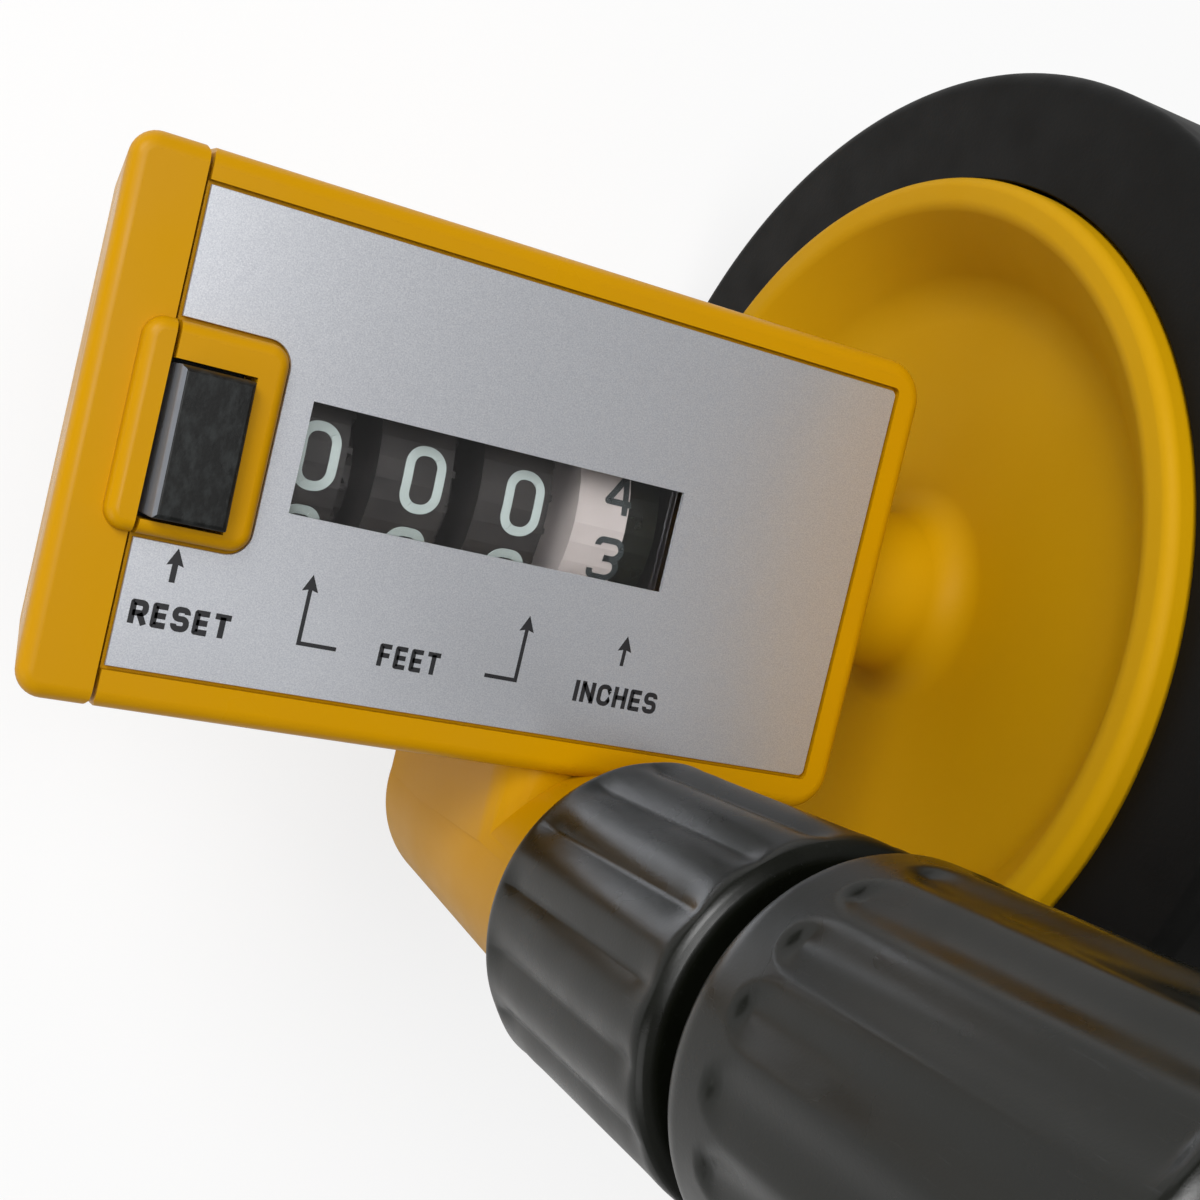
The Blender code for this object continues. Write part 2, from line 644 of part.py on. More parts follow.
    cap = block("end_cap", case_low, case_high, yellow, roundings)
    taper_left(cap)
    right_slab = block("right_slab", at(split_low, CASE_BOTTOM_Y - OVERRUN, -far),
                       at(CASE_RIGHT_X + OVERRUN, CASE_TOP_Y + OVERRUN, OVERRUN))
    plug = block("cap_plug", at(split_low - FUSE, CAVITY_BOTTOM_Y + GAP, CAVITY_FLOOR + GAP),
                 at(PARTING_X + CAP_PLUG_DEPTH, CAVITY_TOP_Y - GAP, -FRONT_WALL - GAP))
    plug_inside = block(
        "cap_plug_inside",
        at(split_low, CAVITY_BOTTOM_Y + GAP + CAP_PLUG_WALL, CAVITY_FLOOR + GAP + CAP_PLUG_WALL),
        at(PARTING_X + CAP_PLUG_DEPTH + OVERRUN, CAVITY_TOP_Y - GAP - CAP_PLUG_WALL,
           -FRONT_WALL - GAP - CAP_PLUG_WALL),
    )
    name, x, y, tip = screw_places()[0]
    lug = block("cap_lug", at(split_low - FUSE, y - CAP_LUG / 2, CAVITY_FLOOR + GAP),
                at(x + CAP_LUG / 2, y + CAP_LUG / 2, CAVITY_FLOOR + GAP + CAP_LUG))
    lug_hole = screw_hole(f"lug_{name}", x, y, tip)
    inner_left = CASE_LEFT_X + CASE_WALL
    pocket_top = -FRONT_WALL - CAP_PLUG_WALL - 2 * GAP
    pocket_low = -(split_low + FUSE - inner_left) / LEFT_TAPER_SHARE
    pocket = prism(
        "cap_pocket",
        [
            (pocket_top, split_low + OVERRUN),
            (pocket_top, inner_left - LEFT_TAPER_SHARE * pocket_top),
            (pocket_low, split_low + FUSE),
            (pocket_low, split_low + OVERRUN),
        ],
        CAVITY_BOTTOM_Y + CAP_PLUG_WALL + 2 * GAP,
        CAVITY_TOP_Y - CAP_PLUG_WALL - 2 * GAP,
        "Y",
        at(0, 0, 0),
    )
    shelf_left = inner_left - LEFT_TAPER_SHARE * SHELF_DEPTH - FUSE
    shelf = block("stem_shelf", at(shelf_left, STEM_Y - SHELF_HALF_WIDTH, SHELF_DEPTH - SHELF_THICKNESS),
                  at(AXLE_LEFT_X - GAP, STEM_Y + SHELF_HALF_WIDTH, SHELF_DEPTH))
    stem_hole = turned("stem_hole", [(0, SHELF_DEPTH - OVERRUN), (STEM_R + GAP, SHELF_DEPTH - OVERRUN),
                                     (STEM_R + GAP, SHELF_DEPTH + OVERRUN), (0, SHELF_DEPTH + OVERRUN)],
                       "Z", at(STEM_X, STEM_Y, 0), steps=SMALL_STEPS)
    rod_boss = turned("rod_boss", [(0, split_low - FUSE), (ROCKER_R, split_low - FUSE),
                                   (ROCKER_R, PARTING_X + CAP_PLUG_DEPTH), (0, PARTING_X + CAP_PLUG_DEPTH)],
                      "X", at(0, ROCKER_Y, ROCKER_DEPTH), steps=SMALL_STEPS)
    rod_r = ROCKER_ROD_R + RUNNING_GAP
    rod_hole = turned("rod_hole", [(0, split_low + GAP), (rod_r, split_low + GAP),
                                   (rod_r, PARTING_X + OVERRUN), (0, PARTING_X + OVERRUN)],
                      "X", at(0, ROCKER_Y, ROCKER_DEPTH), steps=SMALL_STEPS)
    button_room = block(
        "button_room",
        at(split_low + RUNNING_GAP / 2, BUTTON_BOTTOM_Y - FLANGE_MARGIN - GAP, SHELF_DEPTH),
        at(PARTING_X + CAP_PLUG_DEPTH + OVERRUN, BUTTON_TOP_Y + FLANGE_MARGIN + GAP, OVERRUN),
    )
    surround_left = block(
        "surround_left",
        at(SURROUND_LEFT_X, SURROUND_BOTTOM_Y, -FUSE),
        at(PARTING_X + CASE_WALL, SURROUND_TOP_Y, SURROUND_PROUD),
        roundings=(("Z<", SURROUND_CORNER_R, 4), ("+Z", SURROUND_EDGE_R, 2)),
    )
    combine(cap, "UNION", surround_left)
    combine(cap, "DIFFERENCE", right_slab)
    combine(cap, "UNION", plug)
    combine(cap, "DIFFERENCE", plug_inside, pocket, *notches)
    combine(cap, "UNION", shelf, rod_boss, lug)
    combine(cap, "DIFFERENCE", stem_hole, rod_hole, button_room, lug_hole)

    label = prism("face_label", label_outline(), label_bottom, -LABEL_SINK, "Z",
                  Vector((0, 0, FACE_Z)), silver)
    label_window = block("label_window", at(WINDOW_LEFT_X, WINDOW_BOTTOM_Y, label_bottom - OVERRUN),
                         at(WINDOW_RIGHT_X, WINDOW_TOP_Y, OVERRUN))
    combine(label, "DIFFERENCE", label_window)
    block(
        "window_lens",
        at(WINDOW_LEFT_X - LENS_MARGIN, WINDOW_BOTTOM_Y - LENS_MARGIN, recess_floor - LENS_THICKNESS),
        at(WINDOW_RIGHT_X + LENS_MARGIN, WINDOW_TOP_Y + LENS_MARGIN, recess_floor),
        clear,
    )


def label_outline():
    """The label's outline on the world's X and Y, with its notch for the button's surround."""
    half_x = LABEL_WIDTH / 2
    half_y = LABEL_HEIGHT / 2
    left = PARTING_X + GAP - MIDDLE_X
    right = half_x - MIDDLE_X
    notch_x = SURROUND_RIGHT_X + GAP - MIDDLE_X
    notch_low = SURROUND_BOTTOM_Y - GAP
    notch_high = SURROUND_TOP_Y + GAP
    radius = SURROUND_CORNER_R + GAP
    corner = LABEL_CORNER_R
    points = [(left, -half_y)]
    points += arc((right - corner, -half_y + corner), corner, -90, 0, 4)
    points += arc((right - corner, half_y - corner), corner, 0, 90, 4)
    points += [(left, half_y), (left, notch_high)]
    points += arc((notch_x - radius, notch_high - radius), radius, 90, 0, 5)
    points += arc((notch_x - radius, notch_low + radius), radius, 0, -90, 5)
    points += [(left, notch_low)]
    return points


def socket_radius(depth):
    """The socket's radius at a depth. It tapers to its closed end."""
    slope = (SOCKET_TOP_R - SOCKET_BASE_R) / (SOCKET_TOP - SOCKET_BOTTOM)
    return SOCKET_BASE_R + slope * (depth - SOCKET_BOTTOM)


def socket_middle(depth):
    """Where on Y the socket's middle stands at a depth. It leans towards the case at its closed end."""
    return HANDLE_Y + SOCKET_LEAN * (SOCKET_TOP - depth) / (SOCKET_TOP - SOCKET_BOTTOM)


def pin_span():
    """Where the socket's cross pin starts and ends, along Y."""
    low = socket_middle(PIN_DEPTH) - socket_radius(PIN_DEPTH) + GAP
    return low, CASE_BOTTOM_Y - CASE_WALL / 2


def screw_places():
    """The names of the screws in the back of the case, their places on X and Y, and their tips."""
    cap_x = PARTING_X + SCREW_GRIP
    foot_x = PLATE_THICKNESS + PLATE_FOOT / 2
    foot_top = CAVITY_FLOOR + GAP + FOOT_THICKNESS + GAP
    return (
        ("cap_screw", cap_x, CAP_SCREW_Y, CAVITY_FLOOR + SCREW_GRIP),
        ("frame_screw_left", LEFT_PLATE_X + foot_x, 0.0, foot_top),
        ("frame_screw_right", RIGHT_PLATE_X + foot_x, 0.0, foot_top),
    )


def screw_hole(name, x, y, top):
    """A cutter for the hole of one screw, a little deeper than its tip."""
    radius = SCREW_R + RUNNING_GAP
    low = -CASE_DEPTH - OVERRUN
    return turned(f"{name}_hole", [(0, low), (radius, low), (radius, top + GAP), (0, top + GAP)],
                  "Z", at(x, y, 0), steps=TINY_STEPS)


def make_screws():
    """Pan-head screws that hold the end cap and the counter's frame."""
    steel = material("screw_steel", STEEL, 0.35, 1.0)
    seat = -CASE_DEPTH - GAP
    low = seat - SCREW_HEAD_HEIGHT
    edge = SCREW_HEAD_HEIGHT / 2
    for name, x, y, tip in screw_places():
        profile = [(0, low), (SCREW_HEAD_R - edge, low), (SCREW_HEAD_R, low + edge), (SCREW_HEAD_R, seat),
                   (SCREW_R, seat), (SCREW_R, tip), (0, tip)]
        turned(name, profile, "Z", at(x, y, 0), steel, TINY_STEPS)


def ring(name, inner, outer, low, high, axis, centre, surface, steps=ROUND_STEPS):
    """A plain ring of rectangular section."""
    profile = [(inner, low), (outer, low), (outer, high), (inner, high)]
    return turned(name, profile, axis, centre, surface, steps)


def make_drum(name, left_x, width, surface, has_gear):
    """A number drum with its reset cam on the left and, where it is driven, its gear on the right."""
    axis = at(0, 0, AXLE_DEPTH)
    drum = turned(name, [(0, left_x), (DRUM_R, left_x), (DRUM_R, left_x + width), (0, left_x + width)],
                  "X", axis, surface)
    low_angle = math.atan2(HAMMER_REACH_Z - ROCKER_BELOW_AXLE, ROCKER_Y - HAMMER_REACH_Y)
    cam = prism(f"{name}_cam", heart_outline(low_angle), left_x - CAM_WIDTH, left_x + FUSE, "X", axis)
    combine(drum, "UNION", cam)
    if has_gear:
        gear = prism(f"{name}_gear", gear_outline(GEAR_TEETH, math.pi / GEAR_TEETH), left_x + width - FUSE,
                     left_x + width + GEAR_WIDTH, "X", axis)
        combine(drum, "UNION", gear)
    bore = turned(f"{name}_bore", [(0, left_x - OVERRUN), (AXLE_INNER_R + RUNNING_GAP, left_x - OVERRUN),
                                   (AXLE_INNER_R + RUNNING_GAP, left_x + width + OVERRUN),
                                   (0, left_x + width + OVERRUN)], "X", axis, steps=SMALL_STEPS)
    combine(drum, "DIFFERENCE", bore)
    for obj in (drum, cam, bore):
        pivot(obj, axis)
    if has_gear:
        pivot(gear, axis)
    carrier(f"{name}_pivot", axis, drum)
    return drum


def make_counter():
    """The drums, transfer pinions, frame plates and the shaft that carries the pinions."""
    black = material("drum_black", BLACK, 0.5)
    white = material("drum_white", WHITE, 0.5)
    steel = material("frame_steel", STEEL, 0.4, 1.0)
    acetal = material("pinion_acetal", ACETAL, 0.4)
    axis = at(0, 0, AXLE_DEPTH)
    for name in DRUM_XS:
        make_drum(name, DRUM_LEFT_XS[name], DRUM_WIDTH, black, True)
    make_drum("inch_drum", INCH_LEFT_X, INCH_WIDTH, white, False)

    pinion_axis = at(0, PINION_Y, AXLE_DEPTH)
    for name in DRUM_XS:
        start = DRUM_LEFT_XS[name] + DRUM_WIDTH + GAP
        pinion = prism(f"pinion_{name.split('_')[1]}", gear_outline(PINION_TEETH, 0.0), start,
                       start + DRUM_GAP - 2 * GAP, "X", pinion_axis, acetal)
        bore_r = PINION_SHAFT_R + RUNNING_GAP
        bore = turned(f"{name}_pinion_bore", [(0, start - OVERRUN), (bore_r, start - OVERRUN),
                                              (bore_r, start + OVERRUN), (0, start + OVERRUN)],
                      "X", pinion_axis, steps=SMALL_STEPS)
        combine(pinion, "DIFFERENCE", bore)
        pivot(pinion, pinion_axis)
        pivot(bore, pinion_axis)
        carrier(f"{pinion.name}_pivot", pinion_axis, pinion)
    shaft_low = LEFT_PLATE_X - GAP
    shaft_high = RIGHT_PLATE_X + PLATE_THICKNESS + GAP
    turned("pinion_shaft", [(0, shaft_low), (PINION_SHAFT_R, shaft_low), (PINION_SHAFT_R, shaft_high),
                            (0, shaft_high)], "X", pinion_axis, steel, SMALL_STEPS)
    turned("rocker_rod", [(0, PARTING_X + GAP), (ROCKER_ROD_R, PARTING_X + GAP),
                          (ROCKER_ROD_R, shaft_high), (0, shaft_high)],
           "X", at(0, ROCKER_Y, ROCKER_DEPTH), steel, SMALL_STEPS)

    plate_low = CAVITY_FLOOR + GAP - AXLE_DEPTH
    plate_high = -FRONT_WALL - GAP - AXLE_DEPTH
    for name, x, rocker_hole_r in (
        ("frame_plate_left", LEFT_PLATE_X, ROCKER_R + GAP),
        ("frame_plate_right", RIGHT_PLATE_X, ROCKER_ROD_R + RUNNING_GAP),
    ):
        plate_outline = rectangle(PLATE_BOTTOM_Y, plate_low, PLATE_TOP_Y, plate_high)
        plate = prism(name, plate_outline, x, x + PLATE_THICKNESS, "X", axis, steel)
        foot_outline = rectangle(-PLATE_FOOT_HALF, plate_low, PLATE_FOOT_HALF, plate_low + FOOT_THICKNESS)
        foot = prism(f"{name}_foot", foot_outline, x + PLATE_THICKNESS / 2, x + PLATE_THICKNESS + PLATE_FOOT,
                     "X", axis)
        combine(plate, "UNION", foot)
        holes = ((AXLE_INNER_R + RUNNING_GAP, 0.0, 0.0), (PINION_SHAFT_R + RUNNING_GAP, PINION_Y, 0.0),
                 (rocker_hole_r, ROCKER_Y, -ROCKER_BELOW_AXLE))
        for number, (radius, y, z) in enumerate(holes):
            cutter = prism(f"{name}_hole_{number}", circle(radius, centre=(y, z)), x - OVERRUN,
                           x + PLATE_THICKNESS + OVERRUN, "X", axis)
            combine(plate, "DIFFERENCE", cutter)
    for name, x, y, tip in screw_places()[1:]:
        plate = bpy.data.objects[name.replace("screw", "plate")]
        combine(plate, "DIFFERENCE", screw_hole(f"foot_{name}", x, y, tip + OVERRUN))


def make_reset():
    """The reset button, its return spring and the rocker that it presses."""
    black = material("button_black", BLACK, 0.35)
    steel = material("spring_steel", STEEL, 0.3, 1.0)
    acetal = material("pinion_acetal", ACETAL, 0.4)
    button = block(
        "reset_button",
        at(BUTTON_LEFT_X, BUTTON_BOTTOM_Y, FLANGE_BOTTOM),
        at(BUTTON_RIGHT_X, BUTTON_TOP_Y, BUTTON_PROUD),
        black,
        roundings=(("+Z", BUTTON_EDGE_R, 3),),
    )
    flange = block("button_flange",
                   at(BUTTON_LEFT_X, BUTTON_BOTTOM_Y - FLANGE_MARGIN, FLANGE_BOTTOM),
                   at(BUTTON_RIGHT_X + FLANGE_SIDE_MARGIN, BUTTON_TOP_Y + FLANGE_MARGIN, FLANGE_TOP))
    stem = turned("button_stem", [(0, STEM_BOTTOM), (STEM_R, STEM_BOTTOM), (STEM_R, FLANGE_TOP),
                                  (0, FLANGE_TOP)],
                  "Z", at(STEM_X, STEM_Y, 0), steps=SMALL_STEPS)
    combine(button, "UNION", flange, stem)
    rest = at(STEM_X, STEM_Y, BUTTON_PROUD)
    for obj in (button, flange, stem):
        pivot(obj, rest)
    spring = make_spring(steel)
    carrier("reset_button_guide", rest, button, spring)

    axis = at(0, ROCKER_Y, ROCKER_DEPTH)
    tube_low = PARTING_X + CAP_PLUG_DEPTH + GAP
    tube_high = INCH_LEFT_X - GAP
    rocker = turned("reset_rocker", [(0, tube_low), (ROCKER_R, tube_low), (ROCKER_R, tube_high),
                                     (0, tube_high)],
                    "X", axis, acetal, SMALL_STEPS)
    arms = []
    hammer = [(-HAMMER_DEPTH / 2, 0), (HAMMER_DEPTH / 2, 0),
              (HAMMER_DEPTH / 2 - HAMMER_REACH_Y, HAMMER_REACH_Z), (-HAMMER_REACH_Y, HAMMER_REACH_Z)]
    for name, left in DRUM_LEFT_XS.items():
        end = left - GAP
        if name == "feet_hundreds_drum":
            end = left - (CAM_WIDTH - HAMMER_WIDTH) / 2
        arms.append(prism(f"{name}_hammer", hammer, end - HAMMER_WIDTH, end, "X", axis))
    reach = ROCKER_Y - STEM_Y + PEDAL_PAST_STEM
    pedal = [(0, -PEDAL_THICKNESS / 2), (0, PEDAL_THICKNESS / 2), (-reach, PEDAL_THICKNESS / 2),
             (-reach, -PEDAL_THICKNESS / 2)]
    arms.append(prism("rocker_pedal", pedal, STEM_X - PEDAL_WIDTH / 2, STEM_X + PEDAL_WIDTH / 2, "X", axis))
    bore_r = ROCKER_ROD_R + RUNNING_GAP
    bore = turned("rocker_bore", [(0, tube_low - OVERRUN), (bore_r, tube_low - OVERRUN),
                                  (bore_r, tube_high + OVERRUN), (0, tube_high + OVERRUN)],
                  "X", axis, steps=SMALL_STEPS)
    combine(rocker, "UNION", *arms)
    combine(rocker, "DIFFERENCE", bore)
    for obj in (rocker, bore, *arms):
        pivot(obj, axis)
    carrier("reset_rocker_pivot", axis, rocker)


def make_spring(surface):
    """The button's return spring: a coil between the button's flange and the shelf."""
    low = SHELF_DEPTH + GAP + SPRING_WIRE_R
    high = FLANGE_BOTTOM - GAP - SPRING_WIRE_R
    count = SPRING_TURNS * SPRING_POINTS
    points = []
    for i in range(count + 1):
        angle = 2 * math.pi * i / SPRING_POINTS
        offset = Vector((SPRING_COIL_R * math.cos(angle), SPRING_COIL_R * math.sin(angle), 0))
        points.append(at(STEM_X, STEM_Y, low + (high - low) * i / count) + offset)
    turn_rise = (high - low) / SPRING_TURNS
    print(f"reset_spring: least gap between turns {(turn_rise - 2 * SPRING_WIRE_R) / MM:.2f} mm")
    curve = bpy.data.curves.new("reset_spring", "CURVE")
    curve.dimensions = "3D"
    curve.bevel_depth = SPRING_WIRE_R
    curve.bevel_resolution = 1
    curve.use_fill_caps = True
    spline = curve.splines.new("POLY")
    spline.points.add(len(points) - 1)
    for target, point in zip(spline.points, points):
        target.co = (*point, 1.0)
    curve.materials.append(surface)
    spring = bpy.data.objects.new("reset_spring", curve)
    bpy.context.scene.collection.objects.link(spring)
    return spring


def make_wheel():
    """The axle with everything that turns with it: clutch disc, wheel disc, tyre, washer and nut."""
    yellow = material("yellow_wheel", YELLOW, 0.35)
    rubber = material("tyre_rubber", RUBBER, 0.8)
    steel = material("axle_steel", STEEL, 0.3, 1.0)
    bronze = material("bush_bronze", BRONZE, 0.4, 1.0)
    black = material("clutch_black", BLACK, 0.5)
    axis = at(0, 0, AXLE_DEPTH)
    shoulder = RIGHT_PLATE_X + PLATE_THICKNESS + GAP
    axle = turned("axle", [
        (0, AXLE_LEFT_X), (AXLE_INNER_R - AXLE_CHAMFER, AXLE_LEFT_X),
        (AXLE_INNER_R, AXLE_LEFT_X + AXLE_CHAMFER), (AXLE_INNER_R, shoulder), (AXLE_R, shoulder),
        (AXLE_R, AXLE_FAR_X - AXLE_CHAMFER), (AXLE_R - AXLE_CHAMFER, AXLE_FAR_X), (0, AXLE_FAR_X)],
        "X", axis, steel, SMALL_STEPS)

    inner = AXLE_INNER_R + RUNNING_GAP
    mouth = math.degrees(math.asin(CLIP_MOUTH / 2 / inner))
    first = MOUTH_ANGLE + mouth
    last = MOUTH_ANGLE + FULL_TURN - mouth
    clip_outline = arc((0, 0), CLIP_R, first, last, ROUND_STEPS // 2)
    clip_outline += arc((0, 0), inner, last, first, ROUND_STEPS // 2)
    clip_high = LEFT_PLATE_X - GAP
    clip = prism("axle_clip", clip_outline, clip_high - CLIP_THICKNESS, clip_high, "X", axis, steel)
    clutch = ring("clutch_disc", AXLE_INNER_R + RUNNING_GAP, CLUTCH_R, CLUTCH_X, CLUTCH_X + CLUTCH_WIDTH,
                  "X", axis, black)
    spacer_low = RIGHT_PLATE_X + PLATE_THICKNESS + GAP + FOOT_THICKNESS
    bush_low = CAVITY_RIGHT_X - GAP
    spacer = ring("spacer_sleeve", AXLE_R + RUNNING_GAP, SPACER_R, spacer_low, bush_low - GAP,
                  "X", axis, steel, SMALL_STEPS)
    turned("axle_bush", [
        (AXLE_R + RUNNING_GAP, bush_low), (BUSH_R, bush_low), (BUSH_R, BUSH_FLANGE_X),
        (BUSH_FLANGE_R, BUSH_FLANGE_X), (BUSH_FLANGE_R, BUSH_FLANGE_X + BUSH_FLANGE_THICKNESS),
        (AXLE_R + RUNNING_GAP, BUSH_FLANGE_X + BUSH_FLANGE_THICKNESS)], "X", axis, bronze, SMALL_STEPS)

    bore = AXLE_R + RUNNING_GAP
    lip = TYRE_NEAR_X - DISC_LIP_PROUD
    web = lip + DISC_WEB_SINK
    far_web = web + DISC_WEB
    outer = RIM_R - GAP
    edge = DISC_LIP_WIDTH / 4
    band = DISC_BAND
    soft = BOSS_FILLET / 2
    near_side = [
        (bore, BOSS_NEAR_X), (BOSS_R - edge, BOSS_NEAR_X), (BOSS_R, BOSS_NEAR_X + edge),
        (BOSS_R + edge, web - BOSS_FILLET), (BOSS_R + soft, web - edge), (BOSS_R + BOSS_FILLET, web),
        (outer - DISC_LIP_WIDTH - band, web), (outer - DISC_LIP_WIDTH - band + soft, web - edge),
        (outer - DISC_LIP_WIDTH, lip + edge), (outer - DISC_LIP_WIDTH + edge, lip), (outer - edge, lip),
        (outer, lip + edge),
    ]
    far_lip = DISC_FAR_LIP_X
    far_side = [
        (outer, far_lip - edge), (outer - edge, far_lip), (outer - DISC_LIP_WIDTH + edge, far_lip),
        (outer - DISC_LIP_WIDTH, far_lip - edge), (outer - DISC_LIP_WIDTH - band + soft, far_web + edge),
        (outer - DISC_LIP_WIDTH - band, far_web), (HUB_FAR_R + BOSS_FILLET, far_web),
        (HUB_FAR_R + edge, far_web + edge), (HUB_FAR_R, HUB_FAR_X - edge), (HUB_FAR_R - edge, HUB_FAR_X),
        (bore, HUB_FAR_X),
    ]
    disc = turned("wheel_disc", near_side + far_side, "X", axis, yellow)
    soft = TYRE_EDGE / 3
    tyre = turned("tyre", [
        (RIM_R, TYRE_NEAR_X), (TYRE_R - TYRE_EDGE, TYRE_NEAR_X), (TYRE_R - soft, TYRE_NEAR_X + soft),
        (TYRE_R, TYRE_NEAR_X + TYRE_EDGE), (TYRE_R, TYRE_FAR_X - TYRE_EDGE),
        (TYRE_R - soft, TYRE_FAR_X - soft), (TYRE_R - TYRE_EDGE, TYRE_FAR_X), (RIM_R, TYRE_FAR_X)],
        "X", axis, rubber, FINE_STEPS)
    washer_low = HUB_FAR_X + GAP
    washer = ring("hub_washer", bore, WASHER_R, washer_low, washer_low + WASHER_THICKNESS,
                  "X", axis, steel, SMALL_STEPS)
    nut_far_x = NUT_NEAR_X + NUT_HEIGHT
    nut = prism("hub_nut", circle(NUT_FLATS / math.sqrt(3), 6), NUT_NEAR_X, nut_far_x, "X", axis, steel)
    nut_bore = turned("nut_bore", [(0, NUT_NEAR_X - OVERRUN), (bore, NUT_NEAR_X - OVERRUN),
                                   (bore, nut_far_x + OVERRUN), (0, nut_far_x + OVERRUN)],
                      "X", axis, steps=SMALL_STEPS)
    combine(nut, "DIFFERENCE", nut_bore)
    turning = (axle, clip, clutch, spacer, disc, tyre, washer, nut)
    for obj in (*turning, nut_bore):
        pivot(obj, axis)
    carrier("wheel_pivot", axis, *turning)


def fluted(name, bottom, length, outer_radii, rounding, plain, bore, cavity_r, top_bore, waves, depth,
           surface):
    """A hollow twist collar: a lip at each end, room for its collet between them and flutes outside."""
    low_r, high_r = outer_radii
    top = bottom + length
    corner = rounding / 4
    outside = [
        (low_r - rounding, bottom, 0.0), (low_r - corner, bottom + corner, 0.0),
        (low_r, bottom + rounding, 0.0), (low_r, bottom + rounding + plain, 0.3),
        (low_r, bottom + rounding + 2 * plain, 1.0), (high_r, top - rounding - plain, 1.0),
        (high_r, top - rounding, 0.3), (high_r - corner, top - corner, 0.0), (high_r - rounding, top, 0.0),
    ]
    inside = [
        (top_bore, top), (top_bore, top - COLLAR_LIP), (cavity_r, top - COLLAR_LIP),
        (cavity_r, bottom + COLLAR_LIP), (bore, bottom + COLLAR_LIP), (bore, bottom),
    ]
    axis = at(HANDLE_X, HANDLE_Y, 0)
    collar = turned(name, outside + inside, "Z", axis, surface, 4 * waves, waves, depth)
    pivot(collar, axis + Vector((0, 0, bottom)))
    return collar


def tube_plug(name, tube_inside_r, slide_r, bore_r, top, surface):
    """A guide bush: its stem sits in the end of one tube, and its head slides in the next."""
    axis = at(HANDLE_X, HANDLE_Y, 0)
    stem_r = tube_inside_r - RUNNING_GAP
    return turned(name, [
        (bore_r, top - BUSH_STEM), (stem_r, top - BUSH_STEM), (stem_r, top + GAP), (slide_r, top + GAP),
        (slide_r, top + GAP + BUSH_HEAD), (bore_r, top + GAP + BUSH_HEAD)], "Z", axis, surface)


